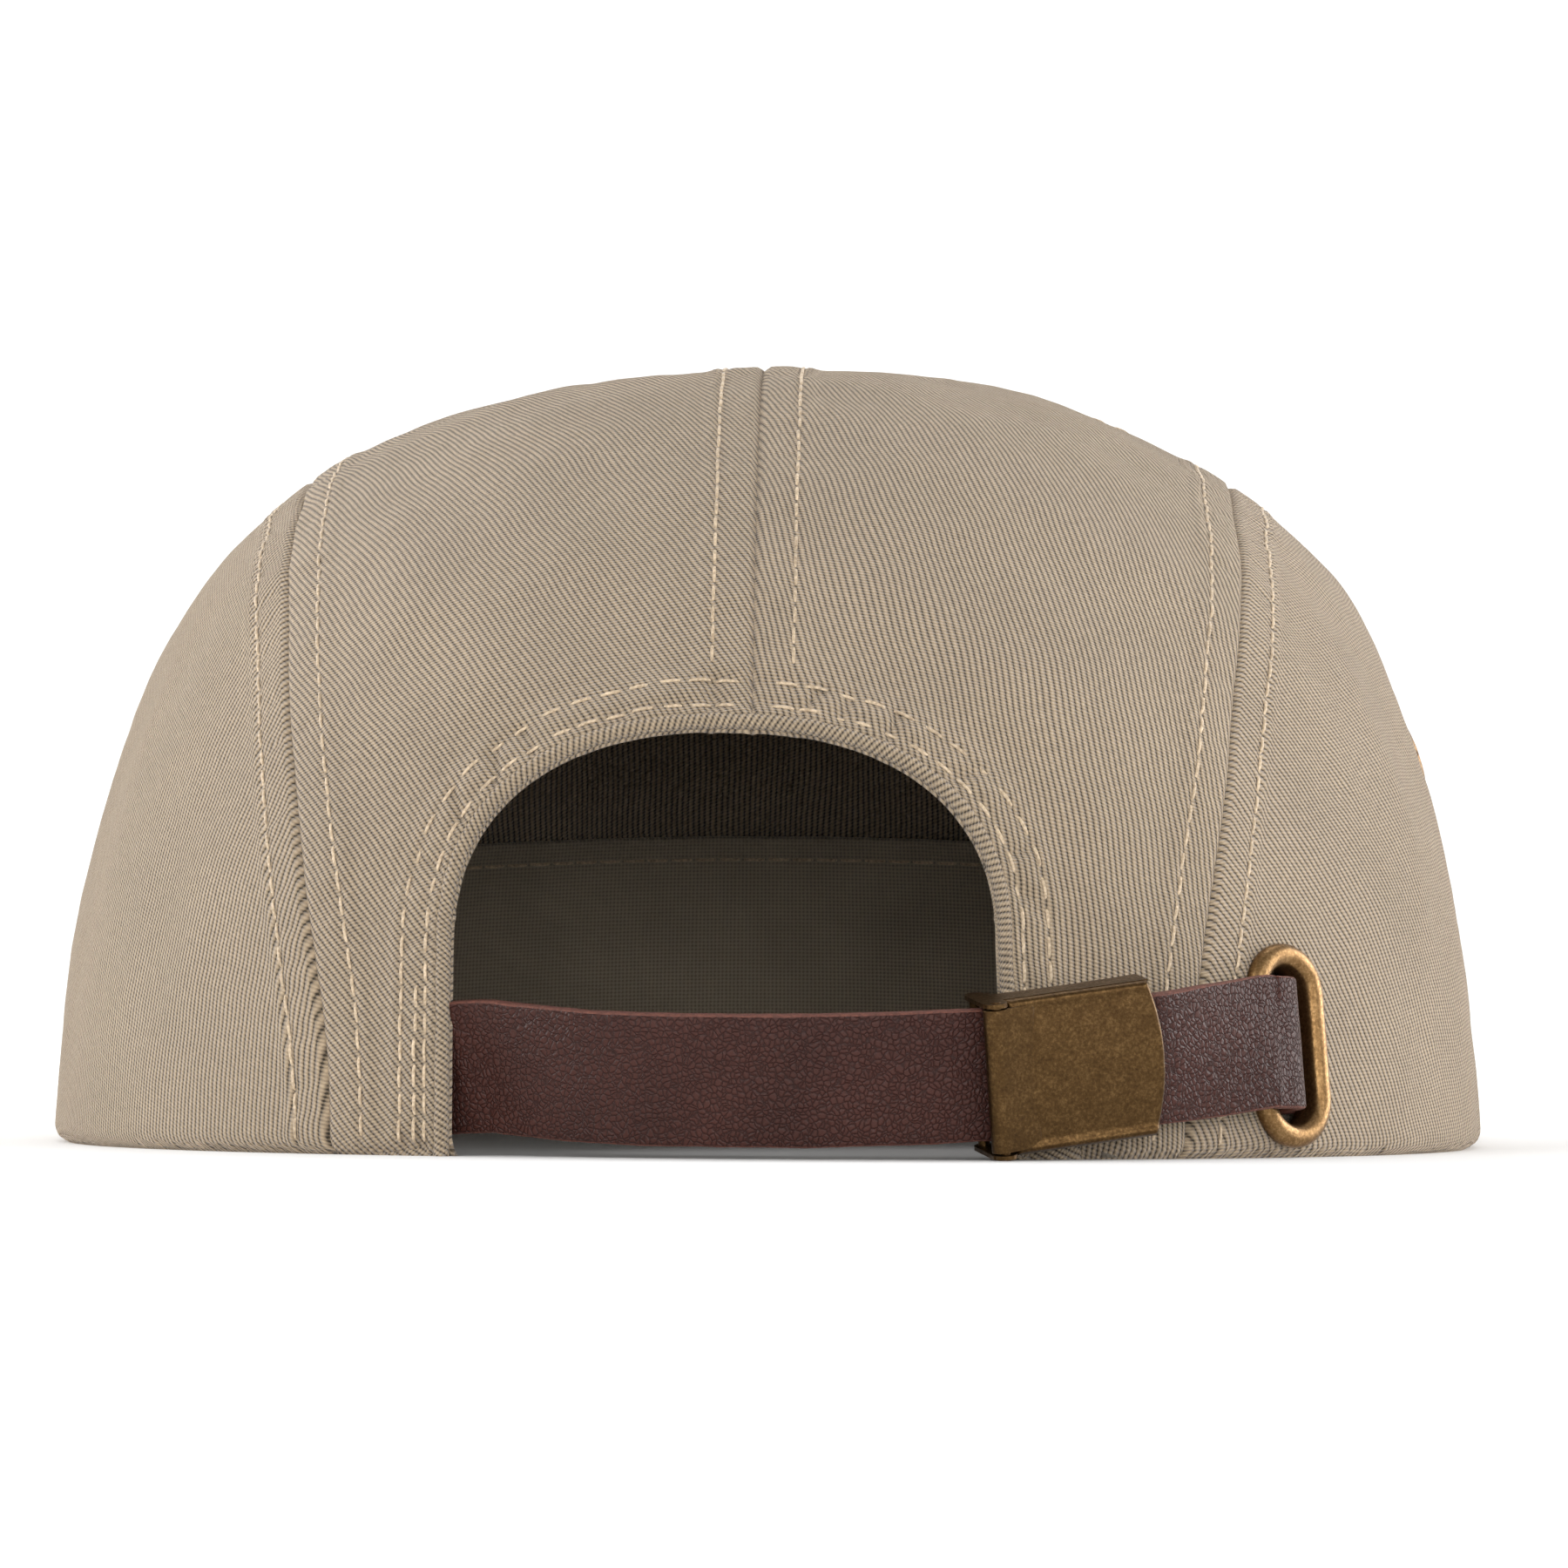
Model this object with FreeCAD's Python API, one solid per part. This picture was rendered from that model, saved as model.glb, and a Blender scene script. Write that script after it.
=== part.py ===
"""A five-panel camper cap with a leather strap at the back, in millimetres.

+Z is up and z = 0 is the plane of the bottom rim. The visor points to +Y, the adjusting opening faces -Y,
and +X is the wearer's right. The origin is in the middle of the rim.

The crown is one smooth dome. Every cloth layer lies between two insets of that dome, so that layers and
panels meet face to face. The strap runs on an arc about a tilted axis, and the buckle slides about it.
"""

import FreeCAD, Part
import math
import os

V = FreeCAD.Vector

# Crown
HALF_WIDTH = 89.0
HALF_LENGTH = 99.0
HEIGHT = 96.3
LEAN = 0.045  # how far the walls lean in for each millimetre of height
PLAN_POWER = 2.2  # 2 is an ellipse seen from above, more is squarer
SIDE_POWER = 2.6  # the same for the arch seen from behind
FRONT_POWER_EXTRA = 0.35  # the front wall stands straighter than the back
GRID = 31  # points along each side of the dome's grid
POLAR_END = math.radians(94.0)  # the dome is made to just below the rim, then trimmed

# Cloth layers, as insets from the crown's outer face
CLOTH = 1.2
TAPE = CLOTH + 0.5
FACING = CLOTH + 0.8
POCKET = 4.4  # where the hanging wall of the sweatband starts
SWEATBAND = POCKET + 0.9
SWEATBAND_HEIGHT = 34.0
SWEATBAND_FOOT = 2.5
TAPE_HALF_WIDTH = 6.0
FACING_WIDTH = 9.0

# Seams
FRONT_SEAM_Y = 34.0  # where the front panel starts at the rim
FRONT_SEAM_SLOPE = -0.14  # and how far it moves back for each millimetre of height
# A side seam seen from behind: (distance from the middle, height)
SIDE_SEAM = (
    (50.0, -12.0), (50.4, 0.0), (52.9, 27.0), (56.2, 54.0), (57.6, 69.0), (56.6, 80.0), (55.5, 108.0)
)

# Opening at the back
OPENING_MIDDLE = -3.9
OPENING_HALF_WIDTH = 32.4
OPENING_SPRING = 25.0  # the height where the arch starts
OPENING_RISE = 25.7
OPENING_POWER = 2.3
OPENING_FLARE = 1.2  # how much farther out its right edge is at the rim

# Visor
VISOR_ARCH = 6.0
VISOR_HALF_WIDTH = 90.6
VISOR_OUTLINE = ((86.0, 20.0), (90.0, 44.0), (86.0, 88.0), (70.0, 130.0), (38.0, 158.5), (0.0, 167.0))
VISOR_CLOTH = 0.7
VISOR_BOARD = 1.6
VISOR_THICKNESS = VISOR_BOARD + 2 * VISOR_CLOTH
VISOR_EDGE = 3.0  # cloth around the board
VISOR_ROOT_GAP = 1.0  # between the board and the crown
EARS_Y = 4.5  # the rim is flat behind here and follows the visor's arch ahead of it

# Strap: an arc about a tilted axis, then into its eyelet
STRAP_WIDTH = 15.6
STRAP_THICKNESS = 1.8
STRAP_RADIUS = 80.2
STRAP_CENTRE = V(8.0, -22.9, 23.5)
STRAP_AXIS = V(-0.022, -0.178, 0.984)
STRAP_START = -33.6  # degrees around the arc from straight back, where it is sewn in
SEWN_INSET = FACING
SEWN_LENGTH = 8.0
SEWN_THICKNESS = 2.6  # its end is folded double
TAIL_INSET = 2.3
TAIL_LENGTH = 45.0
BEND_OUTSIDE = 3.0
BEND_INSIDE = 2.5
BEND_PLACE = -1.0  # where it passes through the eyelet, from the eyelet's middle
BEND_TOP = 0.6
LAY_FLAT = 9.5  # how far before the eyelet it comes level with the cloth

# Eyelet for the strap: a stadium-shaped brass ring in the right side panel
EYELET_AZIMUTH = -46.7  # degrees from +X
EYELET_Z = 13.2
EYELET_HOLE = (18.8, 7.0)
EYELET_WALL = 0.5
EYELET_FLANGE = 2.75
EYELET_RISE = 1.3
WASHER = CLOTH + 0.6
CLINCH = 0.35  # how far the barrel comes through its backing ring
LINING_GAP = 0.3  # between the eyelet and the cloth inside

# Vents: two small brass eyelets in each side panel
VENT_PLACES = ((11.0, 64.0), (11.0, 49.0))  # degrees ahead of the cap's middle, and height
VENT_HOLE = 5.0
VENT_FLANGE = 2.0
VENT_RISE = 0.8

# Buckle
BUCKLE_ANGLE = 20.6  # degrees around the arc to its middle
BUCKLE_TWIST = 3.0
BUCKLE_HALF_LENGTH = 9.7
BUCKLE_HALF_WIDTH = 9.2
BUCKLE_LIFT = 0.2  # its middle sits this much above the strap's
PIN_PROUD = 0.1
PLATE = 0.8
PLATE_START = -2.9  # the back plate stops here, to leave room for the loop
PLATE_REACH = 12  # degrees of arc, more than the plate's half length; it is trimmed to the buckle
RAIL = 0.5
BUCKLE_DEPTH = 4.0  # more than the buckle's reach behind the strap; its parts are trimmed to the plate
STRAP_GAP = 0.3
COVER_UNDER = 1.55  # the cover's lower face, out from the middle of the strap
COVER_BULGE = 1.6
COVER_START = 1.8  # from the buckle's left end to the cover's
COVER_ROOM = 0.35  # between the cover and the rails
NECK_END = 2.5  # the neck joins the knuckle to the cover this far in
LIP_RADIUS = 0.5
LIP_START = 2.0
RIDGE = (-6.6, -5.4)  # the ridge under the cover that grips the strap
RIDGE_FOOT = 1.0
RIDGE_HALF_WIDTH = 7.5
PIN_RADIUS = 0.6
PIN_PLAY = 0.05
KNUCKLE = 1.25
KNUCKLE_PLAY = 0.3  # between the knuckle and each rail
PIN_T = -9.6
PIN_N = 2.4
EAR = 1.35
BAR_T = -9.9
BAR_N = -3.7
BAR_RADIUS = 0.7
LEG_EDGE = 0.5  # metal around the bar and at the leg's side

# Loop that ties the buckle to the right edge of the opening
LOOP_PLY = 0.6
LOOP_HALF_WIDTH = 6.0
LOOP_PLAY = 0.55
BUCKLE_TRAVEL = 5.0
LOOP_SEWN_LENGTH = 9.0
LOOP_SEWN_INSET = 2.4  # from the opening's edge to where it meets the cloth

# The cloth that the strap and its loop are fitted between
CLOTH_AT_THE_BACK = (
    "left_crown_panel", "right_crown_panel", "right_side_panel",
    "opening_facing", "sweatband", "right_seam_tape",
)

AXIS = V(STRAP_AXIS).normalize()
BACK = (V(0, -1, 0) + AXIS * AXIS.y).normalize()  # straight back, square to the strap's axis
ACROSS = AXIS.cross(BACK).normalize()


def power_round(angle, power):
    """The reach of a unit superellipse in the direction of an angle."""
    return (abs(math.cos(angle)) ** power + abs(math.sin(angle)) ** power) ** (-1 / power)


def dome_point(inset, azimuth, polar):
    """The point of the dome at this inset, at an azimuth from +X and a polar angle from the top."""
    power = SIDE_POWER + FRONT_POWER_EXTRA * math.sin(azimuth)
    side = power_round(polar, power)
    reach = side * math.sin(polar) * power_round(azimuth, PLAN_POWER)
    z = (HEIGHT - inset) * side * math.cos(polar)
    x = (HALF_WIDTH - inset - LEAN * z) * reach * math.cos(azimuth)
    y = (HALF_LENGTH - inset - LEAN * z) * reach * math.sin(azimuth)
    return V(x, y, z)


def dome_face(inset):
    """The dome at this inset as one face with no pole: a square grid is spread over a disc, then raised."""
    steps = [2 * i / (GRID - 1) - 1 for i in range(GRID)]
    rows = []
    for s in steps:
        row = []
        for t in steps:
            x = s * math.sqrt(1 - t * t / 2)
            y = t * math.sqrt(1 - s * s / 2)
            polar = math.hypot(x, y) * POLAR_END
            row.append(dome_point(inset, math.atan2(y, x), polar))
        rows.append(row)
    surface = Part.BSplineSurface()
    surface.interpolate(rows)
    return surface.toShape()


def layer(outer, inner):
    """The closed solid between two insets of the dome, above the rim plane."""
    faces = [dome_face(outer), dome_face(inner)]
    edges = [face.Edges for face in faces]
    sides = [Part.makeRuledSurface(a, b) for a, b in zip(*edges)]
    shell = Part.makeShell(faces + sides)
    shell.sewShape()
    solid = Part.makeSolid(shell)
    if solid.Volume < 0:
        solid.reverse()
    return solid.common(box(-200, 200, -200, 200, 0, 200))


def box(x0, x1, y0, y1, z0, z1):
    return Part.makeBox(x1 - x0, y1 - y0, z1 - z0, V(x0, y0, z0))


def biggest(shape):
    return max(shape.Solids, key=lambda solid: solid.Volume)


def prism(wire, direction):
    return Part.Face(wire).extrude(direction)


def smooth(points):
    """A smooth curve through points."""
    curve = Part.BSplineCurve()
    curve.interpolate(points)
    return curve.toShape()


def front_region():
    """Everything ahead of the front panel's seam."""
    low, high = -30.0, 150.0
    corners = [(FRONT_SEAM_Y + FRONT_SEAM_SLOPE * low, low), (300, low), (300, high)]
    corners.append((FRONT_SEAM_Y + FRONT_SEAM_SLOPE * high, high))
    wire = Part.makePolygon([V(-200, y, z) for y, z in corners + corners[:1]])
    return prism(wire, V(400, 0, 0))


def front_seam_band():
    """A strip on each side of the front panel's seam."""
    band = front_region()
    moved = band.copy()
    band.translate(V(0, -TAPE_HALF_WIDTH, 0))
    moved.translate(V(0, TAPE_HALF_WIDTH, 0))
    return band.cut(moved)


def side_region(sign, shift=0.0):
    """Everything outboard of a side seam: sign is -1 on the left and 1 on the right."""
    points = [V(sign * (x + shift), -150, z) for x, z in SIDE_SEAM]
    seam = smooth(points)
    far = [V(sign * 200, -150, points[-1].z), V(sign * 200, -150, points[0].z)]
    rest = Part.makePolygon([points[-1]] + far + [points[0]])
    return prism(Part.Wire([seam] + rest.Edges), V(0, 300, 0))


def arch(grow):
    """The opening's outline, grown outwards and run from behind the cap to its middle."""
    half = OPENING_HALF_WIDTH + grow
    rise = OPENING_RISE + grow
    points = []
    for i in range(13):
        angle = math.pi * i / 12
        reach = power_round(angle, OPENING_POWER)
        x = OPENING_MIDDLE + half * reach * math.cos(angle)
        z = OPENING_SPRING + rise * reach * math.sin(angle)
        points.append(V(x, -150, z))
    top = smooth(points)
    right, left = points[0], points[-1]
    foot = V(right.x + OPENING_FLARE, -150, -10)
    legs = Part.makePolygon([left, V(left.x, -150, -10), foot, right])
    return prism(Part.Wire([top] + legs.Edges), V(0, 110, 0))


def below_visor(lift):
    """Everything ahead of the ears and below the visor's arched under face, raised by lift."""
    radius = (VISOR_HALF_WIDTH**2 + VISOR_ARCH**2) / (2 * VISOR_ARCH)
    middle = VISOR_ARCH - radius
    side = middle + math.sqrt((radius + lift) ** 2 - 100**2)
    ends = [V(-100, EARS_Y, side), V(100, EARS_Y, side)]
    top = Part.Arc(ends[0], V(0, EARS_Y, VISOR_ARCH + lift), ends[1]).toShape()
    rest = Part.makePolygon([ends[1], V(100, EARS_Y, -20), V(-100, EARS_Y, -20), ends[0]])
    return prism(Part.Wire([top] + rest.Edges), V(0, 200, 0))


def visor_plan(shrink):
    """The visor's outline as a tall prism, its outer edge drawn in by shrink at the sides and the front."""
    across = 1 - shrink / VISOR_HALF_WIDTH
    ahead = 1 - shrink / (VISOR_OUTLINE[-1][1] - EARS_Y)
    half = [V(x * across, EARS_Y + (y - EARS_Y) * ahead, -5) for x, y in VISOR_OUTLINE]
    mirrored = [V(-p.x, p.y, p.z) for p in reversed(half[:-1])]
    edge = smooth(half + mirrored)
    back = Part.makePolygon([mirrored[-1], V(0, EARS_Y, -5), half[0]])
    return prism(Part.Wire([edge] + back.Edges), V(0, 0, 30))


def make_visor(crown_block):
    """The board in its two covers. They butt against the front of the crown."""
    def slab(low, high, shrink):
        return below_visor(high).cut(below_visor(low)).common(visor_plan(shrink))

    middle = VISOR_THICKNESS / 2
    near = crown_block.copy()
    near.translate(V(0, VISOR_ROOT_GAP, 0))
    board = biggest(slab(VISOR_CLOTH, VISOR_CLOTH + VISOR_BOARD, VISOR_EDGE).cut(near))
    top = biggest(slab(middle, VISOR_THICKNESS, 0).cut(crown_block).cut(board))
    under = biggest(slab(0, middle, 0).cut(crown_block).cut(board))
    return {"visor_board": board, "visor_top_cover": top, "visor_under_cover": under}


def arc_point(angle, offset=0.0):
    """A point of the strap's middle line, angle in degrees from straight back towards +X."""
    turn = math.radians(angle)
    return STRAP_CENTRE + (BACK * math.cos(turn) + ACROSS * math.sin(turn)) * (STRAP_RADIUS + offset)


def arc_plate(start, end, inner, outer, half_width):
    """A curved plate about the strap's axis, between two angles and two distances from its middle."""
    face_lines = []
    middle = (start + end) / 2
    for offset in (inner, outer):
        ends = arc_point(start, offset), arc_point(middle, offset), arc_point(end, offset)
        face_lines.append(Part.Arc(*ends).toShape())
    inside, outside = face_lines
    closing = [
        Part.makeLine(arc_point(start, inner), arc_point(start, outer)),
        Part.makeLine(arc_point(end, inner), arc_point(end, outer)),
    ]
    wire = Part.Wire(Part.__sortEdges__([inside, outside] + closing))
    solid = prism(wire, AXIS * (2 * half_width))
    solid.translate(AXIS * -half_width)
    return solid


def wall_point(azimuth, z):
    """The point of the crown's outer face at this azimuth and height."""
    power = SIDE_POWER + FRONT_POWER_EXTRA * math.sin(azimuth)
    reach = (1 - (z / HEIGHT) ** power) ** (1 / power) * power_round(azimuth, PLAN_POWER)
    x = (HALF_WIDTH - LEAN * z) * reach * math.cos(azimuth)
    y = (HALF_LENGTH - LEAN * z) * reach * math.sin(azimuth)
    return V(x, y, z)


class Place:
    """A point with three square directions: along, out and up."""

    def __init__(self, origin, along, out):
        self.origin = origin
        self.along = along.normalize()
        self.up = out.cross(along).normalize()
        if self.up.z < 0:
            self.up = self.up * -1
        self.out = self.along.cross(self.up).normalize()
        if self.out.dot(out) < 0:
            self.out = self.out * -1

    def at(self, along, out, up=0.0):
        return self.origin + self.along * along + self.out * out + self.up * up

    def block(self, along, out, up):
        """A block between (low, high) values of each direction."""
        corners = [(along[0], out[0]), (along[1], out[0]), (along[1], out[1]), (along[0], out[1])]
        wire = Part.makePolygon([self.at(a, o, up[0]) for a, o in corners + corners[:1]])
        return prism(wire, self.up * (up[1] - up[0]))

    def rod(self, along, out, radius, up):
        return Part.makeCylinder(radius, up[1] - up[0], self.at(along, out, up[0]), self.up)

    def bend(self, centre, radius, half, angles, half_width):
        """A strip bent round a centre, between two angles in degrees from along towards out."""
        lines = []
        for reach in (radius - half, radius + half):
            ends = [self.around(centre, reach, a) for a in (angles[0], sum(angles) / 2, angles[1])]
            lines.append(Part.Arc(*ends).toShape())
        for a in angles:
            ends = self.around(centre, radius - half, a), self.around(centre, radius + half, a)
            lines.append(Part.makeLine(*ends))
        solid = prism(Part.Wire(Part.__sortEdges__(lines)), self.up * (2 * half_width))
        solid.translate(self.up * -half_width)
        return solid

    def around(self, centre, reach, angle):
        turn = math.radians(angle)
        return self.at(centre[0] + reach * math.cos(turn), centre[1] + reach * math.sin(turn))

    def stadium(self, height, width, out):
        """An upright block with round ends, between two distances out."""
        half, straight = width / 2, height / 2 - width / 2
        base = out[0]

        def on_face(along, up):
            return self.at(along, base, up)

        right = Part.makeLine(on_face(half, -straight), on_face(half, straight))
        top = Part.Arc(on_face(half, straight), on_face(0, straight + half), on_face(-half, straight))
        left = Part.makeLine(on_face(-half, straight), on_face(-half, -straight))
        low = Part.Arc(on_face(-half, -straight), on_face(0, -straight - half), on_face(half, -straight))
        wire = Part.Wire([right, top.toShape(), left, low.toShape()])
        return prism(wire, self.out * (out[1] - out[0]))


def place_on_wall(azimuth, z):
    """The place on the crown's outer face at an azimuth in degrees, with along pointing to the front."""
    turn, step = math.radians(azimuth), 1e-4
    point = wall_point(turn, z)
    along = wall_point(turn + step, z) - point
    up = wall_point(turn, z + step) - point
    out = along.cross(up)
    if out.dot(V(point.x, point.y, 0)) < 0:
        out = out * -1
    return Place(point, along, out)


def buckle_place():
    """The middle of the buckle on the strap's middle line, turned a little about its outward direction."""
    turn = math.radians(BUCKLE_ANGLE)
    twist = math.radians(BUCKLE_TWIST)
    out = BACK * math.cos(turn) + ACROSS * math.sin(turn)
    along = ACROSS * math.cos(turn) - BACK * math.sin(turn)
    along = along * math.cos(twist) + AXIS * math.sin(twist)
    return Place(arc_point(BUCKLE_ANGLE) + AXIS * BUCKLE_LIFT, along, out)


def brass_ring(place, height, width, flange, rise, panel, crown_block):
    """(eyelet, hole, backing ring): a flanged barrel set in a panel, and the cutter for its hole."""
    through = (-WASHER - CLINCH, rise)
    hole = place.stadium(height + 2 * EYELET_WALL, width + 2 * EYELET_WALL, (-8, 8))
    bore = place.stadium(height, width, (-9, 9))
    rim = place.stadium(height + 2 * flange, width + 2 * flange, (-2, rise)).cut(crown_block)
    barrel = place.stadium(height + 2 * EYELET_WALL, width + 2 * EYELET_WALL, through)
    inner = place.stadium(height + 2 * flange - 1, width + 2 * flange - 1, (-8, 8))
    return rim.fuse(barrel).cut(bore).removeSplitter(), hole, inner.cut(hole).common(panel)


def make_strap(eyelet, others):
    """The strap: sewn inside the left edge, round the back, through the eyelet and into the pocket."""
    half, wide = STRAP_THICKNESS / 2, STRAP_WIDTH / 2
    stand_off = BEND_OUTSIDE + BEND_TOP
    tail_out = -TAIL_INSET - half
    reach_in = tail_out + BEND_INSIDE
    meeting = eyelet.at((BEND_PLACE - BEND_OUTSIDE - LAY_FLAT) / 2, stand_off) - STRAP_CENTRE
    meets = math.degrees(math.asin(meeting.dot(ACROSS) / STRAP_RADIUS))
    span = arc_plate(STRAP_START, meets, -half, half, wide)
    start = arc_point(STRAP_START)
    sewn = layer(SEWN_INSET, SEWN_INSET + SEWN_THICKNESS)
    sewn = sewn.common(box(start.x - SEWN_LENGTH, start.x + 2, -120, -40, 0, 60))
    sewn = sewn.common(arc_plate(-60, 0, -30, 30, wide))
    level = (stand_off - half, stand_off + half)
    outside = eyelet.block((-LAY_FLAT, BEND_PLACE - BEND_OUTSIDE), level, (-wide, wide))
    first = eyelet.bend((BEND_PLACE - BEND_OUTSIDE, BEND_TOP), BEND_OUTSIDE, half, (0, 90), wide)
    through = eyelet.block((BEND_PLACE - half, BEND_PLACE + half), (reach_in, BEND_TOP), (-wide, wide))
    second = eyelet.bend((BEND_PLACE + BEND_INSIDE, reach_in), BEND_INSIDE, half, (180, 270), wide)
    tail = layer(TAIL_INSET, TAIL_INSET + STRAP_THICKNESS)
    tail_start = BEND_PLACE + BEND_INSIDE - 0.5
    tail = tail.common(eyelet.block((tail_start, TAIL_LENGTH), (-60, 5), (-wide, wide)))
    strap = span.fuse([sewn, outside, first, through, second, tail])
    for other in others:
        strap = strap.cut(other)
    return biggest(strap)


def make_buckle():
    """The frame, its hinge pin and the cover that flips open about the pin."""
    at = buckle_place()
    low, high = -BUCKLE_HALF_LENGTH, BUCKLE_HALF_LENGTH
    outside = BUCKLE_HALF_WIDTH
    inside = outside - RAIL
    half = STRAP_THICKNESS / 2
    plate_top = -half - STRAP_GAP
    plate_ends = (BUCKLE_ANGLE - PLATE_REACH, BUCKLE_ANGLE + PLATE_REACH)
    room = at.block((PLATE_START, high), (-BUCKLE_DEPTH, BUCKLE_DEPTH), (-outside, outside))
    frame = arc_plate(*plate_ends, plate_top - PLATE, plate_top, outside + 2).common(room)
    below = arc_plate(*plate_ends, -20, plate_top - PLATE, outside + 4)
    for side in (-1, 1):
        up = sorted((side * inside, side * outside))
        rail = at.block((low, high), (-BUCKLE_DEPTH, COVER_UNDER - COVER_ROOM), up).cut(below)
        leg = at.block((BAR_T - BAR_RADIUS - LEG_EDGE, PIN_T + EAR), (BAR_N, PIN_N), up)
        ear = at.rod(PIN_T, PIN_N, EAR, up)
        toe = at.rod(BAR_T, BAR_N, BAR_RADIUS + LEG_EDGE, up)
        frame = frame.fuse([rail, leg, ear, toe])
    bar = at.rod(BAR_T, BAR_N, BAR_RADIUS, (-outside, outside))
    pin = at.rod(PIN_T, PIN_N, PIN_RADIUS, (-outside - PIN_PROUD, outside + PIN_PROUD))
    frame = frame.fuse(bar).cut(pin).removeSplitter()

    knuckle_wide = inside - KNUCKLE_PLAY
    knuckle = at.rod(PIN_T, PIN_N, KNUCKLE, (-knuckle_wide, knuckle_wide))
    level = (COVER_UNDER, COVER_UNDER + PLATE)
    neck = at.block((PIN_T, low + NECK_END), level, (-knuckle_wide, knuckle_wide))
    corners = [at.at(high, COVER_UNDER, side * outside) for side in (-1, 1)]
    bulge = Part.Arc(corners[0], at.at(high + COVER_BULGE, COVER_UNDER, 0), corners[1]).toShape()
    ends = [at.at(low + COVER_START, COVER_UNDER, side * outside) for side in (1, -1)]
    sides = Part.makePolygon([corners[1], ends[0], ends[1], corners[0]])
    cover = prism(Part.Wire([bulge] + sides.Edges), at.out * PLATE)
    lip_foot = at.at(low + LIP_START, COVER_UNDER + LIP_RADIUS, -outside + 0.1)
    lip = Part.makeCylinder(LIP_RADIUS, 2 * high - LIP_START - 0.2, lip_foot, at.along)
    ridge = at.block(RIDGE, (RIDGE_FOOT, COVER_UNDER + 0.1), (-RIDGE_HALF_WIDTH, RIDGE_HALF_WIDTH))
    bore = at.rod(PIN_T, PIN_N, PIN_RADIUS + PIN_PLAY, (-20, 20))
    lever = cover.fuse([knuckle, neck, lip, ridge]).cut(bore).removeSplitter()
    return {"buckle_frame": frame, "buckle_hinge_pin": pin, "buckle_lever": lever}


def make_loop(cloth):
    """The leather loop: a slack eye round the frame's inner bar, its ends sewn inside the right edge."""
    at = buckle_place()
    bar = at.at(BAR_T, BAR_N) - STRAP_CENTRE
    offset = math.hypot(bar.dot(BACK), bar.dot(ACROSS)) - STRAP_RADIUS
    right = math.degrees(math.atan2(bar.dot(ACROSS), bar.dot(BACK)))
    left = right - math.degrees(BUCKLE_TRAVEL / (STRAP_RADIUS + offset))
    room = BAR_RADIUS + LOOP_PLAY
    outer = arc_plate(left, right, offset - room - LOOP_PLY, offset + room + LOOP_PLY, LOOP_HALF_WIDTH)
    hollow = arc_plate(left, right, offset - room, offset + room, LOOP_HALF_WIDTH + 1)
    low, high = AXIS * -LOOP_HALF_WIDTH, 2 * LOOP_HALF_WIDTH
    for angle in (left, right):
        middle = arc_point(angle, offset)
        outer = outer.fuse(Part.makeCylinder(room + LOOP_PLY, high, middle + low, AXIS))
        hollow = hollow.fuse(Part.makeCylinder(room, high + 2, middle + low - AXIS, AXIS))
    eye = outer.cut(hollow)
    first = arc_point(right - 0.6, offset - room - LOOP_PLY / 2)
    sewn_x = OPENING_MIDDLE + OPENING_HALF_WIDTH + LOOP_SEWN_INSET
    last = V(sewn_x, 0, first.z)
    last.y = wall_point_at_x(sewn_x, first.z).y + FACING + LOOP_PLY + 0.1
    neck_place = Place(first, last - first, V(0, -1, 0))
    run = (last - first).Length
    neck = neck_place.block((0, run), (-LOOP_PLY, LOOP_PLY), (-LOOP_HALF_WIDTH, LOOP_HALF_WIDTH))
    neck = neck.cut(hollow)
    sewn = layer(FACING, FACING + 2 * LOOP_PLY)
    zs = (first.z - LOOP_HALF_WIDTH, first.z + LOOP_HALF_WIDTH)
    sewn = sewn.common(box(sewn_x - 0.6, sewn_x + LOOP_SEWN_LENGTH, -120, -40, *zs))
    loop = eye.fuse([neck, sewn])
    for piece in cloth:
        loop = loop.cut(piece)
    return biggest(loop)



def wall_point_at_x(x, z):
    """The point of the back of the crown's outer face at this x and height."""
    low, high = -math.pi / 2, 0.0
    for _ in range(50):
        middle = (low + high) / 2
        if wall_point(middle, z).x < x:
            low = middle
        else:
            high = middle
    return wall_point(low, z)


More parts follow.
